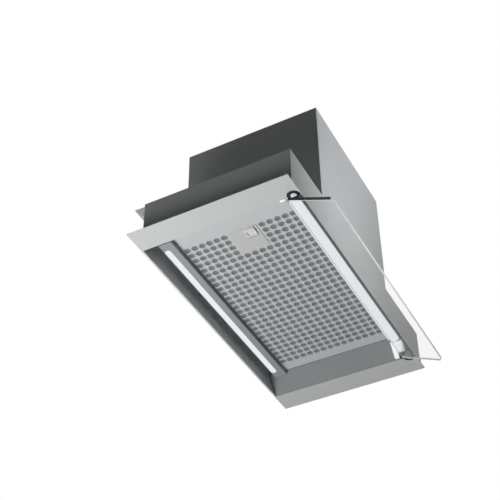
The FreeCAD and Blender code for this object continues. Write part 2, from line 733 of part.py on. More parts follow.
def make_fan_scroll():
    """The spiral casing that the impeller turns in; its neck opens under the duct collar."""
    width = size("scroll_width")
    sheet = size("scroll_sheet")
    top = size("housing_height") - size("housing_sheet")
    block = Part.Face(scroll_wire(0, top)).extrude(FreeCAD.Vector(width, 0, 0))
    block.translate(FreeCAD.Vector(-width / 2, 0, 0))
    hollow = Part.Face(scroll_wire(sheet, top + sheet)).extrude(FreeCAD.Vector(width - 2 * sheet, 0, 0))
    hollow.translate(FreeCAD.Vector(sheet - width / 2, 0, 0))
    axis_start = FreeCAD.Vector(-width, worked_out(FAN_Y), size("fan_height"))
    inlet = Part.makeCylinder(size("inlet_radius") + sheet, width, axis_start, FreeCAD.Vector(1, 0, 0))
    motor_start = FreeCAD.Vector(0, worked_out(FAN_Y), size("fan_height"))
    motor_hole = Part.makeCylinder(size("mount_circle") - size("mount_radius"), width, motor_start,
                                   FreeCAD.Vector(1, 0, 0))
    scroll = doc.addObject("Part::Feature", "scroll_solid")
    scroll.Shape = block.cut(hollow).cut(inlet).cut(motor_hole)
    return keep(scroll, "fan_scroll")


def make_inlet_ring():
    """The bell mouth that leads air into the impeller."""
    section = [
        ("inlet_radius", "0"),
        ("inlet_radius + scroll_sheet", "0"),
        ("inlet_radius + scroll_sheet", "-inlet_depth"),
        ("inlet_radius + blade_depth", "-inlet_depth"),
        ("inlet_radius + blade_depth", "-inlet_depth - scroll_sheet"),
        ("inlet_radius", "-inlet_depth - scroll_sheet"),
    ]
    seat = "inlet_depth - scroll_width / 2"
    return keep(turned("inlet_ring_turned", section, "x", FAN_AXIS, seat), "inlet_ring")


def make_impeller():
    """The squirrel-cage wheel: back plate, front ring, hub and a ring of blades."""
    body = doc.addObject("PartDesign::Body", "impeller_wheel")
    back = new_sketch(body, "impeller_back", "XY_Plane")
    ring(back, "impeller_radius")
    ring(back, "shaft_radius")
    pad(body, back, "impeller_sheet", downward=True)
    hub = new_sketch(body, "impeller_hub", "XY_Plane")
    ring(hub, "hub_radius")
    ring(hub, "shaft_radius")
    pad(body, hub, "hub_length", downward=True)
    front = new_sketch(body, "impeller_front", "XY_Plane")
    ring(front, "impeller_radius")
    ring(front, "impeller_radius - blade_depth + blade_sheet")
    front.AttachmentOffset = FreeCAD.Placement()
    front.setExpression("AttachmentOffset.Base.z", formula("impeller_sheet - impeller_width"))
    blade = new_sketch(body, "impeller_blade", "XY_Plane")
    outer = "(impeller_radius - blade_sheet)"
    lean = "(blade_depth * tan(blade_angle) / 2)"
    inner = "(impeller_radius - blade_depth)"
    outline(blade, [(inner, f"-{lean}"), (outer, lean), (outer, f"{lean} + blade_sheet"),
                    (inner, f"blade_sheet - {lean}")])
    blade_pad = pad(body, blade, "impeller_width - impeller_sheet / 2", downward=True)
    pattern = body.newObject("PartDesign::PolarPattern", "impeller_blades")
    pattern.Originals = [blade_pad]
    pattern.Axis = (blade, ["N_Axis"])
    pattern.Angle = 360
    pattern.setExpression("Occurrences", formula("blade_count"))
    pad(body, front, "impeller_sheet", downward=True)
    body.Tip = doc.getObject("impeller_front_pad")
    place_along(body, "x", FAN_AXIS, "impeller_width / 2")
    return keep(body, "impeller")


def make_shaft_and_nut():
    """The motor's shaft and the nut that holds the impeller on it."""
    shaft_start = "(impeller_width / 2 - hub_length - nut_height - 1)"
    shaft = doc.addObject("PartDesign::Body", "shaft_bar")
    drawing = new_sketch(shaft, "shaft_section", "XY_Plane")
    ring(drawing, "shaft_radius")
    shaft.Tip = pad(shaft, drawing, "shaft_length")
    place_along(shaft, "x", FAN_AXIS, shaft_start)
    keep(shaft, "impeller_shaft")
    nut = doc.addObject("PartDesign::Body", "nut_hexagon")
    hexagon = new_sketch(nut, "nut_outline", "XY_Plane")
    outline(hexagon, [(f"nut_radius * cos({60 * step})", f"nut_radius * sin({60 * step})")
                      for step in range(6)])
    ring(hexagon, "shaft_radius")
    nut.Tip = pad(nut, hexagon, "nut_height")
    place_along(nut, "x", FAN_AXIS, f"{shaft_start} + 1")
    keep(nut, "impeller_nut")


def make_fan_motor():
    """The motor as one turned unit with a bore that the shaft runs in."""
    bore = "(shaft_radius + fit_gap)"
    section = [
        (bore, "0"),
        ("motor_boss", "0"),
        ("motor_boss", "mount_height"),
        ("motor_radius", "mount_height"),
        ("motor_radius", "mount_height + motor_length"),
        ("0", "mount_height + motor_length"),
        ("0", "mount_height + motor_length - mount_height"),
        (bore, "mount_height + motor_length - mount_height"),
    ]
    face = "scroll_width / 2 + bracket_sheet"
    return keep(turned("motor_turned", section, "x", FAN_AXIS, face), "fan_motor")


def make_motor_bracket_and_mounts():
    """The plate on the scroll's side and the three rubber bushes that carry the motor."""
    side_face = "scroll_width / 2"
    section = [
        ("motor_boss + 1", "0"),
        ("bracket_radius", "0"),
        ("bracket_radius", "bracket_sheet"),
        ("motor_boss + 1", "bracket_sheet"),
    ]
    keep(turned("bracket_turned", section, "x", FAN_AXIS, side_face), "motor_bracket")
    bushes = []
    for step in range(3):
        centre = (f"mount_circle * cos({120 * step}) + {FAN_Y}",
                  f"fan_height + mount_circle * sin({120 * step})")
        seat = f"({side_face} + bracket_sheet)"
        bushes.append(rod(f"mount_bush_{step}", "mount_radius", centre,
                          (seat, f"{seat} + mount_height"), "x"))
    keep(group("mount_bush_set", bushes), "motor_mounts")


def make_capacitor():
    """The motor's run capacitor, standing on the casing beside the air passage."""
    centre = ("passage_length / 2 + capacitor_radius + 1", f"{CASING_REAR} - capacitor_setback")
    can = rod("capacitor_can", "capacitor_radius", centre, ("0", "capacitor_height"))
    return keep(can, "motor_capacitor")


# --- lamps --------------------------------------------------------------------------------
def make_lamp(name, sign, lens_width, lens_inset):
    """A strip lamp: channel, diffuser let into its outer side, and LED board."""
    def facing(near, far):
        """A stretch along Y that starts at the cassette's side and goes outwards."""
        return (near, far) if sign > 0 else (f"-({far})", f"-({near})")

    lens_far = f"({LAMP_SIDE} - lamp_wall)"
    lens_near = f"({LAMP_SIDE} - lamp_wall - {lens_width})"
    half = LAMP_END
    lens_half = f"({LAMP_END} - {lens_inset})"
    outside = box(f"{name}_block", (f"-{half}", half), facing(GUIDE_SIDE, LAMP_SIDE),
                  (LAMP_LEVEL, FILTER_LEVEL))
    cavity = slot(f"{name}_cavity", lens_half, facing(lens_near, lens_far),
                  (f"{LAMP_LEVEL} - lens_proud", f"{FILTER_LEVEL} - lamp_wall"))
    keep(cut(f"{name}_channel", outside, [cavity]), f"{name}_body")
    lens = slot(f"{name}_diffuser", lens_half, facing(lens_near, lens_far),
                (f"{LAMP_LEVEL} - lens_proud", f"{LAMP_LEVEL} - lens_proud + lens_sheet"))
    keep(lens, f"{name}_lens")
    middle = f"({LAMP_SIDE} - lamp_wall - {lens_width} / 2)"
    board = box(f"{name}_strip", (f"board_width - {lens_half}", f"{lens_half} - board_width"),
                facing(f"{middle} - board_width / 2", f"{middle} + board_width / 2"),
                (f"{FILTER_LEVEL} - lamp_wall - board_sheet", f"{FILTER_LEVEL} - lamp_wall"))
    keep(board, f"{name}_led_board")


def make_lamp_end_cap(side, sign):
    """The white end piece that leads from the front lamp down the slope to the hinge."""
    body = doc.addObject("PartDesign::Body", f"end_cap_{side}_solid")
    drawing = new_sketch(body, f"end_cap_{side}_section", "XZ_Plane")
    low_x = f"({RECESS_END} - slope_run * end_cap_low / recess_depth)"
    high_x = f"({RECESS_END} - slope_run * end_cap_high / recess_depth)"
    corners = [
        (low_x, "end_cap_low - casing_height"),
        (high_x, "end_cap_high - casing_height"),
        (f"{high_x} - end_cap_sheet", "end_cap_high - casing_height"),
        (f"{low_x} - end_cap_sheet", "end_cap_low - casing_height"),
    ]
    outline(drawing, [(f"{sign} * ({across})", upward) for across, upward in corners])
    body.Tip = pad(body, drawing, "lamp_width", midplane=True)
    body.setExpression("Placement.Base.y", formula(f"lamp_width / 2 - {LAMP_SIDE}"))
    clear_of_visor = box(f"end_cap_{side}_step", span(sign, SLOPE_END, f"{RECESS_END} + 1"),
                         (f"-{LAMP_SIDE} - 1", f"{ARM_ROOM_Y} + hinge_gap"),
                         (UNDERSIDE, f"{UNDERSIDE} + end_cap_step"))
    return keep(cut(f"end_cap_{side}_moulding", body, [clear_of_visor]), f"lamp_end_cap_{side}")


def make_led_driver():
    """The lamps' driver, screwed under the casing's top on the right."""
    start = "(passage_length / 2 + 2 * capacitor_radius + driver_depth)"
    driver = box("driver_block", (start, f"{start} + driver_length"),
                 ("-driver_depth / 2", "driver_depth / 2"),
                 ("-casing_sheet - driver_height", "-casing_sheet"))
    return keep(driver, "led_driver")


# --- filter cassette ----------------------------------------------------------------------
def latch_window(name, along_z):
    """The hole that the latch grip travels in."""
    half = "(grip_size / 2 + 2 * part_gap)"
    return box(name, (f"-{GRIP_X} - {half}", f"latch_travel - {GRIP_X} + {half}"),
               (f"-grip_y - {half}", f"{half} - grip_y"), along_z)


def holes_between(first, last, pitch):
    """How many holes a row takes between its first and last centre."""
    return int((last - first) / pitch + ROUNDING) + 1


def make_filter_panel():
    """The perforated sheet: one face with a square grid of holes, left out under the latch."""
    end = worked_out(FILTER_END)
    side = worked_out(FILTER_SIDE)
    sheet = size("filter_sheet")
    level = worked_out(FILTER_LEVEL)
    half_window = size("grip_size") / 2 + 2 * size("part_gap")
    corners = [(-end, -side), (end, -side), (end, side), (-end, side)]
    window_left = -worked_out(GRIP_X) - half_window
    window_right = size("latch_travel") - worked_out(GRIP_X) + half_window
    window_front = -size("grip_y") - half_window
    window_rear = half_window - size("grip_y")
    window = [(window_left, window_front), (window_left, window_rear),
              (window_right, window_rear), (window_right, window_front)]

    def closed(points):
        loop = [FreeCAD.Vector(x, y, level) for x, y in points]
        return Part.makePolygon(loop + loop[:1])

    wires = [closed(corners), closed(window)]
    first_x = size("hole_margin_left") - end
    first_y = size("hole_margin_side") - side
    rows = holes_between(first_x, end - size("hole_margin_right"), size("hole_pitch_x"))
    columns = holes_between(first_y, -first_y, size("hole_pitch_y"))
    for row in range(rows):
        for column in range(columns):
            x = first_x + row * size("hole_pitch_x")
            y = first_y + column * size("hole_pitch_y")
            reach_x = (size("latch_length") + size("hole_radius")) / 2
            reach_y = (size("latch_width") + size("hole_radius")) / 2
            if abs(x + worked_out(LATCH_X)) < reach_x and abs(y + size("latch_y")) < reach_y:
                continue
            circle = Part.Circle(FreeCAD.Vector(x, y, level), FreeCAD.Vector(0, 0, 1), size("hole_radius"))
            wires.append(Part.Wire([circle.toShape()]))
    panel = doc.addObject("Part::Feature", "panel_solid")
    face = Part.Face(wires, "Part::FaceMakerBullseye")
    panel.Shape = face.extrude(FreeCAD.Vector(0, 0, sheet))
    return keep(panel, "filter_panel")


def make_filter_frame():
    """The folded channel round the cassette, with a slot for the latch's tongue."""
    end = FILTER_END
    side = FILTER_SIDE
    sheet = "filter_sheet"
    low = f"({FILTER_LEVEL} + {sheet})"
    top = f"({FILTER_LEVEL} + filter_height)"
    outside = box("cassette_block", (f"-{end}", end), (f"-{side}", side), (low, top))
    hollow = box("cassette_hollow", (f"{sheet} - {end}", f"{end} - {sheet}"),
                 (f"{sheet} - {side}", f"{side} - {sheet}"),
                 (f"{low} - {sheet}", f"{top} - {sheet}"))
    lip = f"({sheet} + filter_lip)"
    mouth = box("cassette_mouth", (f"{lip} - {end}", f"{end} - {lip}"),
                (f"{lip} - {side}", f"{side} - {lip}"),
                (f"{low} - {sheet}", f"{top} + {sheet}"))
    tongue_slot = box("cassette_tongue_slot", (f"-{end} - {sheet}", f"2 * {sheet} - {end}"),
                      ("-grip_y - tongue_width / 2 - part_gap", "tongue_width / 2 + part_gap - grip_y"),
                      (f"{low} - {sheet}", f"{low} + latch_slide_sheet + 2 * part_gap"))
    pin_hole = rod("cassette_pin_hole", "filter_pin_radius", (FILTER_PIN_X, FILTER_PIN_Z),
                   (f"-{side} - {sheet}", f"{side} + {sheet}"), "y")
    return keep(cut("cassette_solid", outside, [hollow, mouth, tongue_slot, pin_hole]), "filter_frame")


def make_filter_mesh():
    """Three layers of grease mesh, with room for the latch and the hinge pins."""
    margin = "(filter_sheet + part_gap)"
    end = f"({FILTER_END} - {margin})"
    side = f"({FILTER_SIDE} - {margin})"
    low = f"({FILTER_LEVEL} + filter_sheet + part_gap)"
    pocket = box("mesh_pocket", (f"-{end} - 1", f"latch_travel + spring_length + part_gap - {SLIDE_END}"),
                 ("-grip_y - latch_slide_width / 2 - 1", "latch_slide_width / 2 + 1 - grip_y"),
                 (f"{low} - 1", f"{low} + latch_slide_sheet + 5 * part_gap"))
    pin_room = rod("mesh_pin_room", "filter_pin_radius + part_gap", (FILTER_PIN_X, FILTER_PIN_Z),
                   (f"-{side} - 1", f"{side} + 1"), "y")
    room = fuse("mesh_room", [pocket, pin_room])
    rise = "((filter_height - 2 * filter_sheet - 2 * part_gap - mesh_sheet) / 2)"
    layers = []
    for step in range(3):
        level = f"({low} + {step} * {rise})"
        layer = box(f"mesh_layer_{step}", (f"-{end}", end), (f"-{side}", side),
                    (level, f"{level} + mesh_sheet"))
        layers.append(cut(f"mesh_layer_{step}_cut", layer, [room]))
    return keep(group("mesh_solid", layers), "filter_mesh")


def make_filter_hinge_pins():
    """Two stub pins at the cassette's right-hand end that turn in the lamp rails."""
    inside = f"({FILTER_SIDE} - 4 * filter_sheet)"
    outside = f"({GUIDE_SIDE} + slope_sheet)"
    centre = (FILTER_PIN_X, FILTER_PIN_Z)
    pins = [
        rod("filter_pin_front", "filter_pin_radius", centre, (f"-{outside}", f"-{inside}"), "y"),
        rod("filter_pin_rear", "filter_pin_radius", centre, (inside, outside), "y"),
    ]
    return keep(group("filter_pin_set", pins), "filter_hinge_pins")


def make_latch():
    """The latch: a cover plate, a slide with its finger grip, and the spring behind it."""
    cover_z = (f"{FILTER_LEVEL} - latch_sheet", FILTER_LEVEL)
    plate = box("latch_plate", (f"-{LATCH_X} - latch_length / 2", f"latch_length / 2 - {LATCH_X}"),
                ("-latch_y - latch_width / 2", "latch_width / 2 - latch_y"), cover_z)
    window = latch_window("latch_plate_window",
                          (f"{FILTER_LEVEL} - 2 * latch_sheet", f"{FILTER_LEVEL} + latch_sheet"))
    keep(cut("latch_cover_solid", plate, [window]), "latch_cover")

    slide_low = f"({FILTER_LEVEL} + filter_sheet + part_gap)"
    slide_top = f"({slide_low} + latch_slide_sheet)"
    runner = box("latch_runner", (f"-{SHOULDER}", f"-{SLIDE_END}"),
                 ("-grip_y - latch_slide_width / 2", "latch_slide_width / 2 - grip_y"),
                 (slide_low, slide_top))
    tongue = box("latch_tongue", (f"part_gap - {SLOPE_END}", f"-{SHOULDER}"),
                 ("-grip_y - tongue_width / 2", "tongue_width / 2 - grip_y"), (slide_low, slide_top))
    grip_low = f"({FILTER_LEVEL} - grip_depth)"
    grip = box("latch_grip", (f"-{GRIP_X} - grip_size / 2", f"grip_size / 2 - {GRIP_X}"),
               ("-grip_y - grip_size / 2", "grip_size / 2 - grip_y"), (grip_low, slide_top))
    hollow = box("latch_grip_hollow", (f"-{GRIP_X} - grip_size / 8", f"3 * grip_size / 8 - {GRIP_X}"),
                 ("-grip_y - 3 * grip_size / 8", "3 * grip_size / 8 - grip_y"),
                 (f"{grip_low} - 1", f"{grip_low} + 0.7 * grip_depth"))
    block = fuse("latch_slide_block", [runner, tongue, grip])
    keep(cut("latch_slide_solid", block, [hollow]), "latch_slide")

    coil_centre = ("-grip_y", f"{slide_low} + latch_slide_sheet / 2 + 2 * part_gap")
    stretch = (f"-{SLIDE_END}", f"spring_length - {SLIDE_END}")
    coil = rod("spring_outside", "spring_radius", coil_centre, stretch, "x")
    core = rod("spring_inside", "spring_radius - spring_wire", coil_centre, stretch, "x")
    keep(cut("latch_spring_solid", coil, [core]), "latch_spring")


# --- glass visor --------------------------------------------------------------------------
def hang(piece):
    """Set a piece of the visor at the pivot, drooping as it does when it is open."""
    piece.Placement.Rotation = FreeCAD.Rotation(FreeCAD.Vector(1, 0, 0), 0)
    piece.setExpression("Placement.Base.y", formula(f"-{PIVOT_Y}"))
    piece.setExpression("Placement.Base.z", formula(PIVOT_Z))
    piece.setExpression("Placement.Rotation.Axis.x", "1")
    piece.setExpression("Placement.Rotation.Angle", formula("visor_droop"))
    return piece


def make_visor():
    """The glass with a strip on each end edge, its two arms and their pins.

    These are drawn about the pivot, with the visor closed and level, and then hung open.
    """
    thickness = (VISOR_BOTTOM, VISOR_TOP)
    pane = doc.addObject("PartDesign::Body", "visor_pane")
    drawing = new_sketch(pane, "visor_pane_outline", "XY_Plane")
    side = ARM_SIDE
    outline(drawing, [(f"-{side}", "-visor_reach"), (side, "-visor_reach"), (side, "visor_inner"),
                      (f"-{side}", "visor_inner")])
    pane.Tip = pad(pane, drawing, "visor_glass")
    pane.setExpression("Placement.Base.z", formula(VISOR_BOTTOM))
    wrapped = group("visor_pane_hung", [pane])
    keep(hang(wrapped), "visor_glass")
    for name, sign in ENDS:
        across = span(sign, ARM_SIDE, ARM_OUTSIDE)
        strip = box(f"visor_strip_{name}", across,
                    ("strip_setback - visor_reach", "-arm_length"), thickness)
        keep(hang(group(f"visor_strip_{name}_hung", [strip])), f"visor_edge_strip_{name}")
        bar = box(f"arm_bar_{name}", across, ("-arm_length", "visor_inner"), thickness)
        lug = box(f"arm_lug_{name}", across, ("-arm_hub", "arm_hub"), (VISOR_TOP, "0"))
        hub = rod(f"arm_hub_{name}", "arm_hub", ("0", "0"), across, "x")
        pin_bore = rod(f"arm_bore_{name}", "visor_pin_radius", ("0", "0"),
                       (f"{across[0]} - 1", f"{across[1]} + 1"), "x")
        keep(hang(cut(f"arm_solid_{name}", fuse(f"arm_whole_{name}", [bar, lug, hub]), [pin_bore])),
             f"visor_arm_{name}")
        pin = rod(f"visor_pin_{name}_solid", "visor_pin_radius", (f"-{PIVOT_Y}", PIVOT_Z),
                  span(sign, ARM_SIDE, f"{ARM_SIDE} + visor_pin_length"), "x")
        keep(pin, f"visor_pin_{name}")


def make_visor_hinge(side, sign):
    """The black hinge block in the frame's notch, with its white cap; the arm swings beside them."""
    centre = (f"{sign} * {HINGE_X}", f"-{HINGE_Y}")
    top = f"({UNDERSIDE} + hinge_height)"
    block = rod(f"hinge_block_{side}", "hinge_radius", centre, (UNDERSIDE, top))
    seat = box(f"hinge_seat_{side}", span(sign, HINGE_SIDE, f"{HINGE_X} + hinge_seat"),
               (f"part_gap - {RECESS_SIDE}", f"hinge_radius - {HINGE_Y}"),
               (FLANGE_TOP, f"{FLANGE_TOP} + hinge_seat_sheet"))
    cap_low = f"({UNDERSIDE} - cap_proud)"
    cap_level = (cap_low, f"{cap_low} + cap_sheet")
    arm_room = box(f"hinge_arm_room_{side}", span(sign, f"{HINGE_X} - 2 * hinge_radius", HINGE_SIDE),
                   (f"-{HINGE_Y} - 2 * hinge_radius", f"2 * hinge_radius - {HINGE_Y}"),
                   (f"{cap_low} - 1", f"{top} + 1"))
    bore = rod(f"hinge_bore_{side}", "visor_pin_radius + fit_gap", (f"-{PIVOT_Y}", PIVOT_Z),
               span(sign, f"{HINGE_SIDE} - 1", f"{ARM_SIDE} + visor_pin_length + part_gap"), "x")
    pocket = rod(f"hinge_pocket_{side}", "cap_radius + 2 * fit_gap", centre, cap_level)
    clear_of_wall = box(f"hinge_wall_room_{side}", span(sign, HINGE_SIDE, f"{HINGE_X} + hinge_seat"),
                        (f"-{HINGE_Y} - 2 * hinge_radius", f"{CASING_FRONT} + casing_sheet + part_gap"),
                        (FLANGE_TOP, f"{top} + 1"))
    keep(cut(f"hinge_solid_{side}", fuse(f"hinge_whole_{side}", [block, seat]),
             [arm_room, bore, pocket, clear_of_wall]), f"hinge_housing_{side}")
    disc = rod(f"hinge_cap_disc_{side}", "cap_radius", centre, cap_level)
    keep(cut(f"hinge_cap_solid_{side}", disc, [arm_room]), f"hinge_cap_{side}")


def make_visor_seal():
    """The black strip under the front lip that the raised glass closes against."""
    seal = box("seal_strip", (f"seal_inset - {ARM_SIDE}", f"{ARM_SIDE} - seal_inset"),
               ("-frame_depth / 2", f"-{RECESS_SIDE}"),
               (f"{UNDERSIDE} - seal_height", UNDERSIDE))
    return keep(seal, "visor_seal")


def make_visor_switch():
    """The switch on the left hinge block that starts the fan when the visor opens."""
    low = f"({UNDERSIDE} + hinge_height)"
    switch = box("switch_block", (f"-{HINGE_SIDE} - switch_size", f"-{HINGE_SIDE}"),
                 (f"-{HINGE_Y} - switch_size / 2", f"switch_size / 2 - {HINGE_Y}"),
                 (low, f"{low} + switch_size"))
    return keep(switch, "visor_switch")


# --- mains connection ---------------------------------------------------------------------
def make_wiring_box():
    """The connection box on the casing's left shoulder: a tray, its gland plate, lid and terminals."""
    start = f"(box_wall - {BOX_X})"
    finish = f"(box_length - {BOX_X})"
    along_y = ("-box_depth / 2", "box_depth / 2")
    floor = "0"
    block = box("wiring_block", (start, finish), along_y, (floor, "box_height"))
    hollow = box("wiring_hollow", (f"{start} - box_wall", f"{finish} - box_wall"),
                 ("box_wall - box_depth / 2", "box_depth / 2 - box_wall"),
                 ("box_wall", "box_height + box_wall"))
    cable = rod("wiring_cable_hole", "cable_hole", (f"box_length / 2 - {BOX_X}", floor),
                ("-box_wall", "2 * box_wall"))
    keep(cut("wiring_solid", block, [hollow, cable]), "wiring_box")
    gland_z = "box_height / 2"
    plate = box("wiring_plate", (f"-{BOX_X}", start), along_y, (floor, "box_height"))
    gland_hole = rod("wiring_gland_hole", "cable_hole", (floor, gland_z),
                     (f"-{BOX_X} - box_wall", f"{start} + box_wall"), "x")
    keep(cut("wiring_plate_solid", plate, [gland_hole]), "wiring_gland_plate")
    lid = box("wiring_lid_plate", (f"-{BOX_X}", finish), along_y, ("box_height", "box_height + box_wall"))
    keep(lid, "wiring_box_lid")
    section = [
        ("gland_bore", "gland_length"),
        ("gland_radius - 2 * box_wall", "gland_length"),
        ("gland_radius", "gland_length / 2"),
        ("gland_radius", "0"),
        ("cable_hole", "0"),
        ("cable_hole", "-2 * box_wall"),
        ("gland_bore", "-2 * box_wall"),
    ]
    gland = turned("gland_turned", section, "x", (floor, gland_z), f"-{BOX_X}")
    gland.Placement.Rotation = FreeCAD.Rotation(FreeCAD.Vector(0, 1, 0), -90)
    keep(gland, "cable_gland")
    terminal_side = f"(box_length - 6 * box_wall - {BOX_X})"
    terminals = box("terminal_strip", (f"{terminal_side} - terminal_height", terminal_side),
                    ("-terminal_length / 2", "terminal_length / 2"),
                    ("box_wall", "box_wall + terminal_height"))
    keep(terminals, "terminal_block")


def make_all():
    """Build every piece, from the frame upwards."""
    make_bottom_frame()
    for side, sign in ENDS:
        make_inlet_slope(side, sign)
        make_lamp_end_cap(side, sign)
        make_visor_hinge(side, sign)
    make_lamp_rail("lamp_rail_front", -1)
    make_lamp_rail("lamp_rail_rear", 1)
    make_lower_casing()
    make_rear_air_channel()
    make_rear_hanging_rail()
    make_rail_screws()
    make_motor_housing()
    housing_set = screws("housing_screw", housing_screw_places(), "housing_sheet")
    keep(group("housing_screw_set", housing_set), "housing_screws")
    make_housing_top()
    make_duct_collar()
    collar_set = screws("collar_screw", collar_screw_places(), "(housing_height + duct_wall)")
    keep(group("collar_screw_set", collar_set), "collar_screws")
    make_damper()
    make_fan_scroll()
    make_inlet_ring()
    make_impeller()
    make_shaft_and_nut()
    make_fan_motor()
    make_motor_bracket_and_mounts()
    make_capacitor()
    make_lamp("front_lamp", -1, "front_lens_width", "front_lens_inset")
    make_lamp("rear_lamp", 1, "rear_lens_width", "rear_lens_inset")
    make_led_driver()
    make_filter_panel()
    make_filter_frame()
    make_filter_mesh()
    make_filter_hinge_pins()
    make_latch()
    make_visor()
    make_visor_seal()
    make_visor_switch()
    make_wiring_box()


make_all()
doc.recompute()
failed = [item.Name for item in doc.Objects if "Invalid" in item.State or "Error" in item.State]
if failed:
    raise RuntimeError("failed objects: " + ", ".join(failed))
for piece in pieces:
    if piece.Shape.isNull() or not piece.Shape.isValid() or not piece.Shape.Solids:
        raise RuntimeError("bad shape: " + piece.Label)
for piece in pieces:
    piece.Shape.exportStep(f"parts/{piece.Label}.step")
    print(f"{piece.Label:24s} {len(piece.Shape.Solids):3d} solids {piece.Shape.Volume / 1000:10.2f} cm3")
print(len(pieces), "pieces")
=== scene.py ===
"""Looks of the built-in range hood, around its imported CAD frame.

Metres, in the frame's own axes: X along the hood's width, -Y towards the cook, +Z up.
"""
import json
import math

import bmesh
import bpy
from mathutils import Matrix, Quaternion, Vector


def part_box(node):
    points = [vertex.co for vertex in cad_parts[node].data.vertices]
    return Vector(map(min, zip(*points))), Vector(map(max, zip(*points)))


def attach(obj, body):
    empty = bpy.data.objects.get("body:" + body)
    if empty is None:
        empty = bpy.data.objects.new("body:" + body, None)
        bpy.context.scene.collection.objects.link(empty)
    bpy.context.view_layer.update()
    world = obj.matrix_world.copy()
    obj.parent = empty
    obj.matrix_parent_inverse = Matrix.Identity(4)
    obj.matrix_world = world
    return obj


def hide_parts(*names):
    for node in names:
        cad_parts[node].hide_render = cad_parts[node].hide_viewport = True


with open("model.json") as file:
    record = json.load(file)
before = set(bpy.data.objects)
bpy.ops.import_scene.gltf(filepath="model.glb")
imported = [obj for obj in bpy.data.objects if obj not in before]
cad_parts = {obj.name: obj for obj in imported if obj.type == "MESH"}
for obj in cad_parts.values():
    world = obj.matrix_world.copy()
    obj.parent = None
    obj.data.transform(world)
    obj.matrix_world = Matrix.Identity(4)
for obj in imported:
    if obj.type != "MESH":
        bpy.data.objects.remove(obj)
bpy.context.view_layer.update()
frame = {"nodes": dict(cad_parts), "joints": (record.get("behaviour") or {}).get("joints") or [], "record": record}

MM = 0.001

# --- the view ------------------------------------------------------------------------------
CAMERA_PLACE = Vector((-1.4329, -0.6710, -1.3308))
CAMERA_HEADING = math.radians(27.45)   # from +X towards +Y
CAMERA_RISE = math.radians(41.37)      # the camera looks up
CAMERA_ROLL = math.radians(-0.57)
LENS_MM = 80.27
SENSOR_MM = 36.0

FLOOR_LEVEL = -2.1
FLOOR_HALF = 60.0        # so wide that its far edge lies near the horizon
FLOOR_PALENESS = 0.65    # share of plain white in what the camera and gloss see of the floor
AMBIENT = 0.005          # strength of the world's light on the object
WHITE = (1.0, 1.0, 1.0, 1.0)

# name, place, where it points, side of its square, spread of its grid in degrees, power in watts
LAMPS = (
    ("key_from_below", (-0.50, 0.35, -1.05), (-0.05, 0.0, -0.07), 0.7, 180.0, 11.6),
    ("front_high", (0.05, -0.95, 0.80), (0.02, -0.14, 0.28), 0.4, 40.0, 0.65),
    ("front_low", (-0.10, -0.56, -0.01), (-0.10, -0.15, -0.01), 0.25, 65.0, 0.18),
    ("right_fill", (1.90, 0.10, 0.20), (0.2, 0.0, 0.1), 1.0, 180.0, 20.0),
    ("rear_fill", (0.30, 1.90, 0.30), (0.0, 0.1, 0.1), 1.1, 180.0, 22.0),
    ("top_light", (0.35, 0.20, 1.90), (0.0, 0.0, 0.1), 1.4, 180.0, 24.0),
)


def add_camera():
    """A long lens below the near end of the hood, looking up at the intake."""
    data = bpy.data.cameras.new("camera")
    data.lens = LENS_MM
    data.sensor_width = SENSOR_MM
    camera = bpy.data.objects.new("camera", data)
    bpy.context.scene.collection.objects.link(camera)
    level = Vector((math.cos(CAMERA_HEADING), math.sin(CAMERA_HEADING), 0.0))
    forward = level * math.cos(CAMERA_RISE) + Vector((0, 0, math.sin(CAMERA_RISE)))
    camera.location = CAMERA_PLACE
    camera.rotation_mode = "QUATERNION"
    camera.rotation_quaternion = (forward.to_track_quat("-Z", "Y")
                                  @ Quaternion((0, 0, 1), CAMERA_ROLL))
    bpy.context.scene.camera = camera


def add_lamps():
    """Soft boxes that leave the near end wall in shade."""
    for name, place, target, side, spread, power in LAMPS:
        data = bpy.data.lights.new(name, "AREA")
        data.size = side
        data.spread = math.radians(spread)
        data.energy = power
        lamp = bpy.data.objects.new(name, data)
        bpy.context.scene.collection.objects.link(lamp)
        lamp.location = place
        lamp.rotation_euler = (Vector(target) - Vector(place)).to_track_quat("-Z", "Y").to_euler()
        lamp.visible_camera = False
        lamp.visible_glossy = False
        lamp.visible_transmission = False


# --- materials -----------------------------------------------------------------------------
def colour(text):
    """A linear colour from an sRGB hex value such as #c8cacb."""
    channels = [int(text[i:i + 2], 16) / 255 for i in (1, 3, 5)]
    linear = [c / 12.92 if c <= 0.04045 else ((c + 0.055) / 1.055) ** 2.4 for c in channels]
    return (*linear, 1.0)


def feed(tree, node, links=None, values=None):
    """Set a node's fixed values, and link the sockets that feed it."""
    for name, value in (values or {}).items():
        node.inputs[name].default_value = value
    for name, socket in (links or {}).items():
        tree.links.new(socket, node.inputs[name])


def add_node(tree, kind, links=None, values=None, **settings):
    """Add a node, with its settings, its fixed values, and the sockets that feed it."""
    node = tree.nodes.new(kind)
    for name, setting in settings.items():
        setattr(node, name, setting)
    feed(tree, node, links, values)
    return node


def new_material(name):
    """An empty node material with a Principled shader at its end."""
    material = bpy.data.materials.new(name)
    material.use_nodes = True
    tree = material.node_tree
    tree.nodes.clear()
    shader = add_node(tree, "ShaderNodeBsdfPrincipled")
    add_node(tree, "ShaderNodeOutputMaterial", {"Surface": shader.outputs["BSDF"]})
    return material, tree, shader


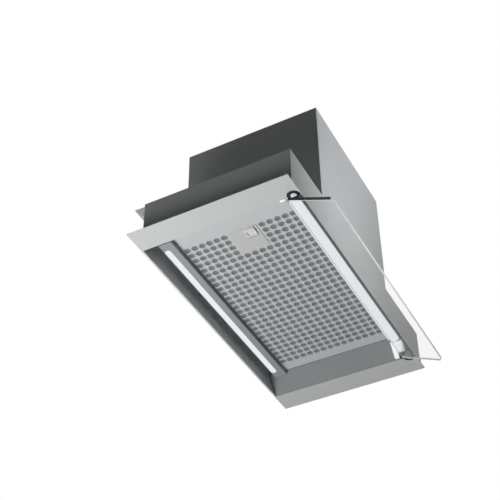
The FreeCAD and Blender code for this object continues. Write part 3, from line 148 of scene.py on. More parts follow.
def join_patterns(tree, shader, tone, rough, relief):
    """Give a shader the tone, roughness and relief that three patterns draw.

    tone is a pattern and the two colours that it blends, rough a pattern, the middle roughness
    and how far it strays, and relief a pattern, its strength and its height in millimetres.
    """
    blend = add_node(tree, "ShaderNodeMix", {"Factor": tone[0]}, {"A": tone[1], "B": tone[2]},
                     data_type="RGBA")
    polish = add_node(tree, "ShaderNodeMapRange", {"Value": rough[0]},
                      {"To Min": rough[1] - rough[2], "To Max": rough[1] + rough[2]})
    height = add_node(tree, "ShaderNodeBump", {"Height": relief[0]},
                      {"Strength": relief[1], "Distance": relief[2] * MM})
    feed(tree, shader, {"Base Color": blend.outputs["Result"],
                        "Roughness": polish.outputs["Result"],
                        "Normal": height.outputs["Normal"]})


LINE_STRETCH = 60.0    # a brushed or rolled line is this many times as long as it is wide
LINE_SHARE = 0.65      # what the lines give to the tone; the clouds give the rest


def sheet_metal(name, light, dark, along, metallic, roughness, line_mm, cloud_mm, relief_mm,
                specular=0.5):
    """A rolled or brushed sheet: fine lines over slow clouds of tone.

    along is the axis of the lines: 0 for the hood's width, 1 for its depth. Real lines are too
    fine to show, so they are drawn about a millimetre wide.
    """
    material, tree, shader = new_material(name)
    place = add_node(tree, "ShaderNodeTexCoord").outputs["Object"]
    stretch = [1.0 / (line_mm * MM)] * 3
    stretch[along] = stretch[along] / LINE_STRETCH
    line_place = add_node(tree, "ShaderNodeMapping", {"Vector": place}, {"Scale": stretch})
    lines = add_node(tree, "ShaderNodeTexNoise", {"Vector": line_place.outputs["Vector"]},
                     {"Scale": 1.0, "Detail": 3.0, "Roughness": 0.6}).outputs["Fac"]
    clouds = add_node(tree, "ShaderNodeTexNoise", {"Vector": place},
                      {"Scale": 1.0 / (cloud_mm * MM), "Detail": 2.0, "Roughness": 0.5})
    share = add_node(tree, "ShaderNodeMath", {0: clouds.outputs["Fac"]}, {1: 1 - LINE_SHARE},
                     operation="MULTIPLY")
    tone = add_node(tree, "ShaderNodeMath", {0: lines, 2: share.outputs[0]}, {1: LINE_SHARE},
                    operation="MULTIPLY_ADD")
    join_patterns(tree, shader, (tone.outputs[0], colour(dark), colour(light)),
                  (lines, roughness, 0.06), (lines, 0.3, relief_mm))
    feed(tree, shader, values={"Metallic": metallic, "Specular IOR Level": specular})
    return material


PEEL_MM = 1.3
PEEL_RELIEF_MM = 0.02


def powder_coat(name, light, dark, roughness, cloud_mm, specular):
    """Baked powder paint: slow clouds of tone, and the orange peel that the melt leaves."""
    material, tree, shader = new_material(name)
    place = add_node(tree, "ShaderNodeTexCoord").outputs["Object"]
    clouds = add_node(tree, "ShaderNodeTexNoise", {"Vector": place},
                      {"Scale": 1.0 / (cloud_mm * MM), "Detail": 3.0,
                       "Roughness": 0.55}).outputs["Fac"]
    peel = add_node(tree, "ShaderNodeTexNoise", {"Vector": place},
                    {"Scale": 1.0 / (PEEL_MM * MM), "Detail": 2.0, "Roughness": 0.5})
    join_patterns(tree, shader, (clouds, colour(dark), colour(light)),
                  (clouds, roughness, 0.05), (peel.outputs["Fac"], 0.5, PEEL_RELIEF_MM))
    feed(tree, shader, values={"Metallic": 0.05, "Specular IOR Level": specular})
    return material


def moulded_plastic(name, tint, roughness, grain_mm, relief_mm, variation=0.06):
    """A moulded part: one colour, with the fine grain that the mould leaves."""
    material, tree, shader = new_material(name)
    place = add_node(tree, "ShaderNodeTexCoord").outputs["Object"]
    grain = add_node(tree, "ShaderNodeTexNoise", {"Vector": place},
                     {"Scale": 1.0 / (grain_mm * MM), "Detail": 4.0,
                      "Roughness": 0.6}).outputs["Fac"]
    darker, lighter = [(*[min(1.0, c * share) for c in colour(tint)[:3]], 1.0)
                       for share in (1 - variation, 1 + variation)]
    join_patterns(tree, shader, (grain, darker, lighter), (grain, roughness, 0.05),
                  (grain, 0.4, relief_mm))
    return material


GLASS_IOR = 1.5
ROLLER_WAVE_MM = 1000 / 9      # the rollers of the tempering furnace leave nine waves a metre


def float_glass():
    """Clear tempered float glass: polished faces with a trace of roller wave."""
    material, tree, shader = new_material("tempered_float_glass")
    place = add_node(tree, "ShaderNodeTexCoord").outputs["Object"]
    ripple = add_node(tree, "ShaderNodeTexNoise", {"Vector": place},
                      {"Scale": 1.0 / (ROLLER_WAVE_MM * MM), "Detail": 1.0})
    relief = add_node(tree, "ShaderNodeBump", {"Height": ripple.outputs["Fac"]},
                      {"Strength": 0.05, "Distance": 0.05 * MM})
    feed(tree, shader, {"Normal": relief.outputs["Normal"]},
         {"Base Color": colour("#fdfefe"), "Roughness": 0.02, "IOR": GLASS_IOR,
          "Transmission Weight": 1.0})
    return material


# length and width of the scratches that a grinding wheel leaves; real ones are finer and wouldn't
# show, so these are drawn about 17 mm long and 0.7 mm wide
SCRATCH_LENGTH_MM = 1000 / 60
SCRATCH_WIDTH_MM = 1000 / 1500
PAINTED_EDGE_GLOW = 0.3                # painted glow: the lamp light that the pane would pipe to its ground edge, drawn as emission


def ground_edge():
    """The same glass where a wheel has ground its edge: frosted, with scratches along it and a painted glow."""
    material, tree, shader = new_material("ground_glass_edge_painted_glow")
    place = add_node(tree, "ShaderNodeTexCoord").outputs["Object"]
    across = 1.0 / (SCRATCH_WIDTH_MM * MM)
    grit_place = add_node(tree, "ShaderNodeMapping", {"Vector": place},
                          {"Scale": (1.0 / (SCRATCH_LENGTH_MM * MM), across, across)})
    grit = add_node(tree, "ShaderNodeTexNoise", {"Vector": grit_place.outputs["Vector"]},
                    {"Scale": 1.0, "Detail": 2.0})
    tone = add_node(tree, "ShaderNodeMix", {"Factor": grit.outputs["Fac"]},
                    {"A": colour("#cdd3d2"), "B": colour("#e2e6e5")}, data_type="RGBA")
    rough = add_node(tree, "ShaderNodeMapRange", {"Value": grit.outputs["Fac"]},
                     {"To Min": 0.4, "To Max": 0.6})
    feed(tree, shader,
         {"Base Color": tone.outputs["Result"], "Roughness": rough.outputs["Result"]},
         {"IOR": GLASS_IOR, "Emission Color": colour("#eef2f1"), "Emission Strength": PAINTED_EDGE_GLOW})
    return material


HAZE_MM = 1000 / 45            # faint clouds about 22 mm across in a lit moulding


def lit_plastic(name, tint, glow_tint, glow_range, roughness):
    """A translucent white moulding that glows, drawn as emission, with the light from behind it."""
    material, tree, shader = new_material(name)
    place = add_node(tree, "ShaderNodeTexCoord").outputs["Object"]
    haze = add_node(tree, "ShaderNodeTexNoise", {"Vector": place},
                    {"Scale": 1.0 / (HAZE_MM * MM), "Detail": 2.0})
    glow = add_node(tree, "ShaderNodeMapRange", {"Value": haze.outputs["Fac"]},
                    {"To Min": glow_range[0], "To Max": glow_range[1]})
    # the glow is emission: in the opal lens it is the lamp, in the end caps it is painted lamp light
    feed(tree, shader, {"Emission Strength": glow.outputs["Result"]},
         {"Base Color": colour(tint), "Emission Color": colour(glow_tint),
          "Roughness": roughness, "Specular IOR Level": 0.3})
    return material


WIRE_PITCH_MM = 1.6
WAVE_PERIOD = 0.314            # a wave texture at a scale of 1 repeats after this length


def grease_mesh():
    """Woven aluminium wire in layers: two sets of wires that cross at a right angle."""
    material, tree, shader = new_material("woven_aluminium_mesh_painted_shade")
    place = add_node(tree, "ShaderNodeTexCoord").outputs["Object"]
    wires = []
    for degrees in (45, 135):
        turned = add_node(tree, "ShaderNodeMapping", {"Vector": place},
                          {"Rotation": (0, 0, math.radians(degrees))})
        wave = add_node(tree, "ShaderNodeTexWave", {"Vector": turned.outputs["Vector"]},
                        {"Scale": WAVE_PERIOD / (WIRE_PITCH_MM * MM), "Distortion": 0.6,
                         "Detail": 1.0}, wave_type="BANDS")
        wires.append(wave.outputs["Fac"])
    weave = add_node(tree, "ShaderNodeMath", {0: wires[0], 1: wires[1]}, operation="MAXIMUM")
    # the dark tone between the wires is painted shade, for the gaps that one looks into
    tone = add_node(tree, "ShaderNodeMix", {"Factor": weave.outputs[0]},
                    {"A": colour("#52585a"), "B": colour("#969d9f")}, data_type="RGBA")
    relief = add_node(tree, "ShaderNodeBump", {"Height": weave.outputs[0]},
                      {"Strength": 0.8, "Distance": 0.3 * MM})
    feed(tree, shader, {"Base Color": tone.outputs["Result"], "Normal": relief.outputs["Normal"]},
         {"Metallic": 0.2, "Roughness": 0.5, "Specular IOR Level": 0.3})
    return material


def make_materials():
    """Each finish by the name it is used under."""
    return {
        # stainless sheet brushed along the depth: pale, with fine lines and a soft sheen
        "frame": sheet_metal("brushed_stainless_frame", "#d6d8d9", "#c8cacb", 1, 0.05, 0.42,
                             0.9, 130.0, 0.01),
        # the same sheet on the slopes as a darker, duller copy: painted shade, because the slopes lie turned away
        # from the light
        "slope": sheet_metal("brushed_stainless_slope_painted_shade", "#9a9fa0", "#868b8c", 1, 0.05, 0.45,
                             0.9, 90.0, 0.01, 0.3),
        # powder paint on the casing and the housing: an even silver grey with little gloss
        "casing": powder_coat("silver_powder_coat", "#bec1c3", "#aeb1b3", 0.55, 160.0, 0.17),
        # aluminium sheet rolled along the width: pale and silky between its holes
        "filter": sheet_metal("satin_aluminium_panel", "#d3d6d7", "#c8cbcc", 0, 0.05, 0.45,
                              0.7, 110.0, 0.01, 0.4),
        # zinc-plated steel of screws, pins and brackets: brighter, in small clouds
        "zinc": sheet_metal("bright_zinc_steel", "#c9ccce", "#b5b8ba", 0, 0.4, 0.35,
                            1.0, 18.0, 0.01),
        # aluminium as it comes out of the die: a dull grey with a coarse skin
        "motor": sheet_metal("bare_die_casting", "#a3a6a8", "#8d9092", 0, 0.5, 0.5,
                             2.0, 12.0, 0.05),
        # ABS with the mould's grain: black, with a soft shine
        "black": moulded_plastic("black_abs", "#1d1e1f", 0.45, 0.8, 0.03),
        # moulded rubber: black, and almost without shine
        "rubber": moulded_plastic("black_mount_rubber", "#161617", 0.7, 0.6, 0.02),
        # extruded rubber: a dull line that is dark grey and not black
        "seal": moulded_plastic("dark_grey_seal_rubber", "#4d5152", 0.7, 0.6, 0.02),
        # polished ABS: bright, smooth and even
        "white": moulded_plastic("white_abs", "#e9ebec", 0.35, 1.2, 0.01, 0.02),
        # the same beside a lamp, with a painted glow for the lamp light that shines through it
        "lit_white": lit_plastic("white_abs_painted_lamp_glow", "#dfe2e3", "#f4f8fb",
                                 (0.36, 0.44), 0.4),
        # ABS with the mould's grain: a plain mid grey
        "grey": moulded_plastic("grey_abs", "#9da0a2", 0.42, 1.0, 0.02, 0.03),
        # smooth moulded plate of the latch: light, a little darker than its grip
        "latch": moulded_plastic("light_latch_plastic", "#cbccca", 0.38, 1.0, 0.01, 0.02),
        # smooth moulded grip: paler, so that it stands out from the plate
        "grip": moulded_plastic("pale_grip_plastic", "#dcddda", 0.34, 1.0, 0.01, 0.02),
        # extruded edging of the visor's right end: pale and rather glossy
        "clear": moulded_plastic("translucent_edge_plastic", "#cdd2d3", 0.25, 1.5, 0.01, 0.02),
        # clear glass: only its gloss and a slight waver of what lies behind it show
        "glass": float_glass(),
        # ground glass: frosted and with a painted glow, so that the pane has a pale outline
        "glass_edge": ground_edge(),
        # opal acrylic in front of lit LEDs: an even white with a faint cloud in it
        "opal": lit_plastic("lit_opal_acrylic", "#5c5f61", "#f6faff", (0.76, 0.82), 0.35),
        # woven aluminium wire: pale wires over gaps in painted shade
        "mesh": grease_mesh(),
        # the rims in a darker tone: painted shade round each hole, so that the holes look larger and softer
        "rim": sheet_metal("aluminium_rim_painted_shade", "#9ba0a2", "#8d9294", 0, 0.1, 0.4,
                           0.7, 60.0, 0.01, 0.4),
    }


NODE_FINISH = {
    "bottom_frame": "frame", "inlet_slope_left": "slope", "inlet_slope_right": "slope",
    "lamp_rail_front": "frame", "lamp_rail_rear": "frame", "lower_casing": "casing",
    "rear_air_channel": "frame", "rear_hanging_rail": "zinc", "rail_screws": "zinc",
    "motor_housing": "casing", "housing_top": "casing", "housing_screws": "zinc",
    "duct_collar": "black", "collar_screws": "zinc", "damper_rod": "zinc",
    "damper_flap_left": "black", "damper_flap_right": "black",
    "fan_scroll": "zinc", "inlet_ring": "black", "impeller": "black", "impeller_shaft": "zinc",
    "impeller_nut": "zinc", "fan_motor": "motor", "motor_bracket": "zinc", "motor_mounts": "rubber",
    "motor_capacitor": "white", "front_lamp_body": "grey", "rear_lamp_body": "grey",
    "front_lamp_lens": "opal", "rear_lamp_lens": "opal", "front_lamp_led_board": "white",
    "rear_lamp_led_board": "white", "led_driver": "white", "lamp_end_cap_left": "lit_white",
    "lamp_end_cap_right": "lit_white", "filter_panel": "filter", "filter_frame": "filter",
    "filter_mesh": "mesh", "filter_hinge_pins": "zinc", "latch_cover": "latch",
    "latch_slide": "grip", "latch_spring": "zinc", "visor_glass": "glass",
    "visor_edge_strip_left": "black", "visor_edge_strip_right": "clear", "visor_arm_left": "black",
    "visor_arm_right": "clear", "visor_pin_left": "zinc", "visor_pin_right": "zinc",
    "hinge_housing_left": "black", "hinge_housing_right": "black", "hinge_cap_left": "white",
    "hinge_cap_right": "white", "visor_seal": "seal", "visor_switch": "black",
    "wiring_box": "grey", "wiring_gland_plate": "grey", "wiring_box_lid": "grey",
    "cable_gland": "black", "terminal_block": "white",
}


def dress_nodes(materials):
    """Give every CAD node its finish."""
    for node, finish in NODE_FINISH.items():
        mesh = frame["nodes"][node].data
        mesh.materials.clear()
        mesh.materials.append(materials[finish])


# --- pieces --------------------------------------------------------------------------------
SMOOTH_BELOW = math.radians(38)    # faces that meet at less than this are shaded as one
SHARP_ABOVE = math.radians(40)     # edges that turn more than this are rounded off
PLAIN_AREA = 100 * MM ** 2         # larger faces are plain sheet and keep their own flat shading
FLAT_WITHIN = math.radians(0.5)    # faces that meet at less than this are one flat face
SAME_PLACE = 0.002 * MM            # points nearer than this are one point

BODY_OF = {node: body for body, nodes in frame["record"]["behaviour"]["bodies"].items()
           for node in nodes}


def add_piece(name, mesh, node, replaced=True):
    """Put a finished mesh in the scene, on a node's body."""
    mesh.shade_smooth()
    mesh.set_sharp_from_angle(angle=SMOOTH_BELOW)
    for face in mesh.polygons:
        face.use_smooth = face.area < PLAIN_AREA
    piece = bpy.data.objects.new(name, mesh)
    bpy.context.scene.collection.objects.link(piece)
    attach(piece, BODY_OF[node])
    if replaced:
        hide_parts(node)


def add_shape(name, shape, finishes, node):
    """Stand a worked shape in for a node, with its faces turned outwards."""
    bmesh.ops.recalc_face_normals(shape, faces=shape.faces)
    mesh = bpy.data.meshes.new(name)
    shape.to_mesh(mesh)
    shape.free()
    for finish in finishes:
        mesh.materials.append(finish)
    add_piece(name, mesh, node)


# how far each edge is rounded, in millimetres: bent sheet about half its thickness, mouldings more
EDGE_ROUNDING = {
    "bottom_frame": 0.4, "inlet_slope_left": 0.3, "inlet_slope_right": 0.3, "lamp_rail_front": 0.3,
    "lamp_rail_rear": 0.3, "lower_casing": 0.4, "motor_housing": 0.4, "housing_top": 0.4,
    "rear_hanging_rail": 0.5, "front_lamp_body": 0.35, "rear_lamp_body": 0.35,
    "front_lamp_lens": 0.5, "rear_lamp_lens": 0.5, "lamp_end_cap_left": 1.4,
    "lamp_end_cap_right": 1.4, "filter_frame": 0.3,
    "latch_cover": 0.5, "latch_slide": 0.5, "visor_arm_left": 0.7, "visor_arm_right": 0.7,
    "visor_edge_strip_left": 0.7, "visor_edge_strip_right": 0.7, "hinge_housing_left": 0.6,
    "hinge_housing_right": 0.6, "hinge_cap_left": 0.4, "hinge_cap_right": 0.4, "visor_switch": 0.8,
    "wiring_box": 0.5, "wiring_gland_plate": 0.5, "wiring_box_lid": 0.6, "led_driver": 1.5,
}


def round_edges(materials):
    """Stand a copy with rounded edges in for each node that is bent, pressed or moulded."""
    for node, rounding in EDGE_ROUNDING.items():
        shape = bmesh.new()
        shape.from_mesh(frame["nodes"][node].data)
        bmesh.ops.remove_doubles(shape, verts=shape.verts, dist=SAME_PLACE)
        bmesh.ops.dissolve_limit(shape, angle_limit=FLAT_WITHIN, verts=shape.verts,
                                 edges=shape.edges)
        sharp = [edge for edge in shape.edges
                 if edge.is_manifold and edge.calc_face_angle() > SHARP_ABOVE]
        bmesh.ops.bevel(shape, geom=sharp, offset=rounding * MM, offset_type="OFFSET", segments=2,
                        profile=0.5, affect="EDGES", clamp_overlap=True)
        bmesh.ops.triangulate(shape, faces=[face for face in shape.faces if len(face.verts) > 4])
        add_shape(node + "_finished", shape, [materials[NODE_FINISH[node]]], node)


def nodes_tree(name, inputs):
    """A Geometry Nodes tree with named inputs: pairs of a name and a kind such as Float."""
    tree = bpy.data.node_groups.new(name, "GeometryNodeTree")
    tree.interface.new_socket("Geometry", in_out="INPUT", socket_type="NodeSocketGeometry")
    for label, kind in inputs:
        tree.interface.new_socket(label, in_out="INPUT", socket_type="NodeSocket" + kind)
    tree.interface.new_socket("Geometry", in_out="OUTPUT", socket_type="NodeSocketGeometry")
    return tree, add_node(tree, "NodeGroupInput").outputs


def finish_tree(tree, geometry, material):
    """End a tree: real faces with their material."""
    real = add_node(tree, "GeometryNodeRealizeInstances", {"Geometry": geometry})
    painted = add_node(tree, "GeometryNodeSetMaterial",
                       {"Geometry": real.outputs[0], "Material": material})
    add_node(tree, "NodeGroupOutput", {"Geometry": painted.outputs[0]})


def grown_mesh(name, tree, values, points=()):
    """Run a tree on some points and keep the result as a plain mesh."""
    seed = bpy.data.meshes.new(name + "_points")
    seed.from_pydata([tuple(point) for point in points], [], [])
    holder = bpy.data.objects.new(name + "_points", seed)
    bpy.context.scene.collection.objects.link(holder)
    growth = holder.modifiers.new("growth", "NODES")
    growth.node_group = tree
    for item in tree.interface.items_tree:
        if item.item_type == "SOCKET" and item.in_out == "INPUT" and item.name in values:
            growth[item.identifier] = values[item.name]
    bpy.context.view_layer.update()
    evaluated = holder.evaluated_get(bpy.context.evaluated_depsgraph_get())
    mesh = bpy.data.meshes.new_from_object(evaluated)
    mesh.name = name
    holder.modifiers.remove(growth)
    bpy.data.objects.remove(holder)
    return mesh


# the grid of holes in the filter panel, from its left front corner
HOLE_RADIUS = 4.75 * MM
HOLE_PITCH = (15.0 * MM, 14.7 * MM)
HOLE_MARGIN_LEFT = 43.1 * MM
HOLE_MARGIN_RIGHT = 28.9 * MM
HOLE_MARGIN_SIDE = 6.9 * MM
RIM_THICKNESS = 1.0 * MM
RIM_DEPTH = 0.6                # the middle of a rim lies this share of its thickness in the sheet
RIM_STEPS = 20                 # round the hole
RIM_SIDES = 6                  # round the rim's own section


def rim_tree():
    """A rolled rim at each point of a grid, left out under the latch cover."""
    tree, given = nodes_tree("rolled_hole_rims", [
        ("First Hole", "Vector"), ("Pitch X", "Float"), ("Pitch Y", "Float"), ("Rows", "Int"),
        ("Columns", "Int"), ("Hole Radius", "Float"), ("Rim Thickness", "Float"),
        ("Cover Centre", "Vector"), ("Cover Reach", "Vector"), ("Material", "Material")])
    line_x = add_node(tree, "GeometryNodeMeshLine", {"Count": given["Rows"]})
    step_x = add_node(tree, "ShaderNodeCombineXYZ", {"X": given["Pitch X"]})
    tree.links.new(step_x.outputs[0], line_x.inputs["Offset"])
    tree.links.new(given["First Hole"], line_x.inputs["Start Location"])
    line_y = add_node(tree, "GeometryNodeMeshLine", {"Count": given["Columns"]})
    step_y = add_node(tree, "ShaderNodeCombineXYZ", {"Y": given["Pitch Y"]})
    tree.links.new(step_y.outputs[0], line_y.inputs["Offset"])
    columns = add_node(tree, "GeometryNodeInstanceOnPoints",
                       {"Points": line_x.outputs[0], "Instance": line_y.outputs[0]})
    grid = add_node(tree, "GeometryNodeRealizeInstances", {"Geometry": columns.outputs[0]})
    place = add_node(tree, "GeometryNodeInputPosition")
    offset = add_node(tree, "ShaderNodeVectorMath", {0: place.outputs[0], 1: given["Cover Centre"]},
                      operation="SUBTRACT")
    distance = add_node(tree, "ShaderNodeVectorMath", {0: offset.outputs[0]}, operation="ABSOLUTE")
    beyond = add_node(tree, "ShaderNodeVectorMath",
                      {0: distance.outputs[0], 1: given["Cover Reach"]}, operation="SUBTRACT")
    sides = add_node(tree, "ShaderNodeSeparateXYZ", {"Vector": beyond.outputs[0]})
    nearest = add_node(tree, "ShaderNodeMath", {0: sides.outputs["X"], 1: sides.outputs["Y"]},
                       operation="MAXIMUM")
    covered = add_node(tree, "ShaderNodeMath", {0: nearest.outputs[0]}, {1: 0.0},
                       operation="LESS_THAN")
    open_holes = add_node(tree, "GeometryNodeDeleteGeometry",
                          {"Geometry": grid.outputs[0], "Selection": covered.outputs[0]},
                          domain="POINT")
    rim_path = add_node(tree, "GeometryNodeCurvePrimitiveCircle", {"Radius": given["Hole Radius"]},
                        {"Resolution": RIM_STEPS})
    rim_round = add_node(tree, "GeometryNodeCurvePrimitiveCircle",
                         {"Radius": given["Rim Thickness"]}, {"Resolution": RIM_SIDES})
    rim = add_node(tree, "GeometryNodeCurveToMesh",
                   {"Curve": rim_path.outputs[0], "Profile Curve": rim_round.outputs[0]})
    smooth = add_node(tree, "GeometryNodeSetShadeSmooth", {"Geometry": rim.outputs[0]})
    rims = add_node(tree, "GeometryNodeInstanceOnPoints",
                    {"Points": open_holes.outputs[0], "Instance": smooth.outputs[0]})
    finish_tree(tree, rims.outputs[0], given["Material"])
    return tree


def add_hole_rims(materials):
    """The rolled rims of the panel's holes, which stand a little proud of the sheet."""
    low, high = [Vector(corner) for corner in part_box("filter_panel")]
    cover_low, cover_high = [Vector(corner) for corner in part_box("latch_cover")]
    length = high.x - low.x - HOLE_MARGIN_LEFT - HOLE_MARGIN_RIGHT
    depth = high.y - low.y - 2 * HOLE_MARGIN_SIDE
    reach = (cover_high - cover_low) / 2 + Vector((1, 1, 0)) * HOLE_RADIUS / 2
    mesh = grown_mesh("filter_hole_rims", rim_tree(), {
        "First Hole": (low.x + HOLE_MARGIN_LEFT, low.y + HOLE_MARGIN_SIDE,
                       low.z + RIM_DEPTH * RIM_THICKNESS),
        "Pitch X": HOLE_PITCH[0], "Pitch Y": HOLE_PITCH[1],
        "Rows": round(length / HOLE_PITCH[0]) + 1, "Columns": round(depth / HOLE_PITCH[1]) + 1,
        "Hole Radius": HOLE_RADIUS + RIM_THICKNESS, "Rim Thickness": RIM_THICKNESS,
        "Cover Centre": tuple((cover_low + cover_high) / 2), "Cover Reach": tuple(reach),
        # the rims' darker tone is painted shade round the holes
        "Material": materials["rim"]})
    add_piece("filter_hole_rims", mesh, "filter_panel", replaced=False)


SCREW_HEAD = 4.0 * MM
SCREW_HEAD_HEIGHT = 2.4 * MM
SCREW_SHANK = 2.0 * MM
RECESS_LENGTH = 1.1            # of an arm of the cross recess, as a share of the head's radius
RECESS_WIDTH = 0.24
# node, axis along which its screws point, and the turn about X that points them there
SCREW_SETS = (("collar_screws", 2, 0.0), ("housing_screws", 2, 0.0),
              ("rail_screws", 1, math.radians(-90)))


def screw_tree():
    """A pan-head screw with a cross recess at each point, its shank down until it is turned."""
    tree, given = nodes_tree("pan_head_screws", [
        ("Head Radius", "Float"), ("Head Height", "Float"), ("Shank Radius", "Float"),
        ("Shank Length", "Float"), ("Turn", "Rotation"), ("Material", "Material")])
    ball = add_node(tree, "GeometryNodeMeshUVSphere",
                    values={"Segments": 28, "Rings": 14, "Radius": 1.0})
    dome_size = add_node(tree, "ShaderNodeCombineXYZ",
                         {"X": given["Head Radius"], "Y": given["Head Radius"],
                          "Z": given["Head Height"]})
    dome = add_node(tree, "GeometryNodeTransform",
                    {"Geometry": ball.outputs[0], "Scale": dome_size.outputs[0]})
    slots = add_node(tree, "GeometryNodeJoinGeometry")
    for across in ((RECESS_LENGTH, RECESS_WIDTH), (RECESS_WIDTH, RECESS_LENGTH)):
        arm_size = add_node(tree, "ShaderNodeCombineXYZ")
        for axis, share in zip("XY", across):
            arm = add_node(tree, "ShaderNodeMath", {0: given["Head Radius"]}, {1: share},
                           operation="MULTIPLY")
            tree.links.new(arm.outputs[0], arm_size.inputs[axis])
        tree.links.new(given["Head Height"], arm_size.inputs["Z"])
        arm_box = add_node(tree, "GeometryNodeMeshCube", {"Size": arm_size.outputs[0]})
        lift = add_node(tree, "ShaderNodeCombineXYZ", {"Z": given["Head Height"]})
        raised = add_node(tree, "GeometryNodeTransform",
                          {"Geometry": arm_box.outputs[0], "Translation": lift.outputs[0]})
        tree.links.new(raised.outputs[0], slots.inputs[0])
    head = add_node(tree, "GeometryNodeMeshBoolean",
                    {"Mesh 1": dome.outputs[0], "Mesh 2": slots.outputs[0]},
                    operation="DIFFERENCE")
    shank = add_node(tree, "GeometryNodeMeshCylinder",
                     {"Radius": given["Shank Radius"], "Depth": given["Shank Length"]},
                     {"Vertices": 20})
    half = add_node(tree, "ShaderNodeMath", {0: given["Shank Length"]}, {1: -0.5},
                    operation="MULTIPLY")
    drop = add_node(tree, "ShaderNodeCombineXYZ", {"Z": half.outputs[0]})
    lowered = add_node(tree, "GeometryNodeTransform",
                       {"Geometry": shank.outputs["Mesh"], "Translation": drop.outputs[0]})
    screw = add_node(tree, "GeometryNodeJoinGeometry")
    tree.links.new(head.outputs[0], screw.inputs[0])
    tree.links.new(lowered.outputs[0], screw.inputs[0])
    screws = add_node(tree, "GeometryNodeInstanceOnPoints",
                      {"Points": given["Geometry"], "Instance": screw.outputs[0],
                       "Rotation": given["Turn"]})
    finish_tree(tree, screws.outputs[0], given["Material"])
    return tree


def loose_parts(node):
    """The box of each separate solid in a node, in the order of their places."""
    shape = bmesh.new()
    shape.from_mesh(frame["nodes"][node].data)
    bmesh.ops.remove_doubles(shape, verts=shape.verts, dist=SAME_PLACE)
    left = set(shape.verts)
    boxes = []
    while left:
        found = {left.pop()}
        waiting = list(found)
        while waiting:
            for edge in waiting.pop().link_edges:
                for vertex in edge.verts:
                    if vertex in left:
                        left.discard(vertex)
                        found.add(vertex)
                        waiting.append(vertex)
        places = [vertex.co.copy() for vertex in found]
        boxes.append((Vector(map(min, zip(*places))), Vector(map(max, zip(*places)))))
    shape.free()
    return sorted(boxes, key=lambda box: tuple(box[0]))


def add_screws(materials):
    """Stand real screws in for the plain ones; each head points away from what it holds."""
    tree = screw_tree()
    for node, axis, turn in SCREW_SETS:
        seats = []
        for low, high in loose_parts(node):
            seat = (low + high) / 2
            seat[axis] = high[axis] - SCREW_HEAD_HEIGHT
            seats.append(seat)
        length = high[axis] - low[axis] - SCREW_HEAD_HEIGHT
        mesh = grown_mesh(node + "_finished", tree, {
            "Head Radius": SCREW_HEAD, "Head Height": SCREW_HEAD_HEIGHT,
            "Shank Radius": SCREW_SHANK, "Shank Length": length, "Turn": (turn, 0.0, 0.0),
            "Material": materials["zinc"]}, seats)
        add_piece(node + "_finished", mesh, node)


SPIN_STEPS = 96


def spun(section, centre):
    """A closed section of radius and height, spun about the vertical through a centre."""
    shape = bmesh.new()
    rings = []
    for step in range(SPIN_STEPS):
        turn = 2 * math.pi * step / SPIN_STEPS
        across = Vector((math.cos(turn), math.sin(turn), 0))
        rings.append([shape.verts.new(centre + across * radius + Vector((0, 0, height)))
                      for radius, height in section])
    for step in range(SPIN_STEPS):
        ring, following = rings[step], rings[(step + 1) % SPIN_STEPS]
        for index in range(len(section)):
            after = (index + 1) % len(section)
            shape.faces.new((ring[index], following[index], following[after], ring[after]))
    return shape


COLLAR_WALL = 1.5 * MM
COLLAR_FLANGE = 13.5 * MM
COLLAR_RIM = 0.4 * MM          # how far its edges are rounded
COLLAR_STOP_REACH = 2.5 * MM   # how far the ring under the flaps stands in
COLLAR_STOP_HEIGHT = 1.5 * MM
COLLAR_STOP_TOP = 19.1 * MM
GROOVE_HEIGHTS = (30.0 * MM, 37.0 * MM)
GROOVE_DEPTH = 1.0 * MM
GROOVE_HALF = 1.8 * MM
GROOVE_STEPS = 4               # from a groove's edge to its middle


def add_duct_collar(materials):
    """The moulded collar: a flange, two grooves for the duct's band, and the flaps' stop ring."""
    low, high = [Vector(corner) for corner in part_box("duct_collar")]
    centre = (low + high) / 2
    centre.z = low.z
    height = high.z - low.z
    outer = (high.x - low.x) / 2 - COLLAR_FLANGE
    inner = outer - COLLAR_WALL

    def grooves(radius):
        """The wall's line from foot to rim, drawn in at each groove."""
        line = []
        for middle in GROOVE_HEIGHTS:
            for step in range(-GROOVE_STEPS, GROOVE_STEPS + 1):
                depth = GROOVE_DEPTH * (1 + math.cos(math.pi * step / GROOVE_STEPS)) / 2
                line.append((radius - depth, middle + GROOVE_HALF * step / GROOVE_STEPS))
        return line

    rim = COLLAR_RIM
    flange = outer + COLLAR_FLANGE
    stop = inner - COLLAR_STOP_REACH
    stop_foot = COLLAR_STOP_TOP - COLLAR_STOP_HEIGHT
    section = [(flange - rim, 0.0), (flange, rim), (flange, COLLAR_WALL - rim),
               (flange - rim, COLLAR_WALL), (outer + 3 * rim, COLLAR_WALL),
               (outer, COLLAR_WALL + 3 * rim)]
    section += grooves(outer)
    section += [(outer, height - rim), (outer - rim, height), (inner + rim, height),
                (inner, height - rim)]
    section += reversed(grooves(inner))
    section += [(inner, COLLAR_STOP_TOP), (stop, COLLAR_STOP_TOP), (stop, stop_foot),
                (inner, stop_foot), (inner, 0.0)]
    add_shape("duct_collar_finished", spun(section, centre), [materials["black"]], "duct_collar")


GLASS_CORNER = 4.0 * MM
GLASS_ARRIS = 0.5 * MM
CORNER_STEPS = 8


def visor_swing():
    """The move that takes the level, closed visor to where it hangs open at rest."""
    joint = next(joint for joint in frame["joints"] if joint["name"] == "visor_hinge")
    pivot = Vector(joint["pos_m"])
    droop = math.radians(-joint["range_deg"][0])
    return Matrix.Translation(pivot) @ Matrix.Rotation(droop, 4, "X") @ Matrix.Translation(-pivot)


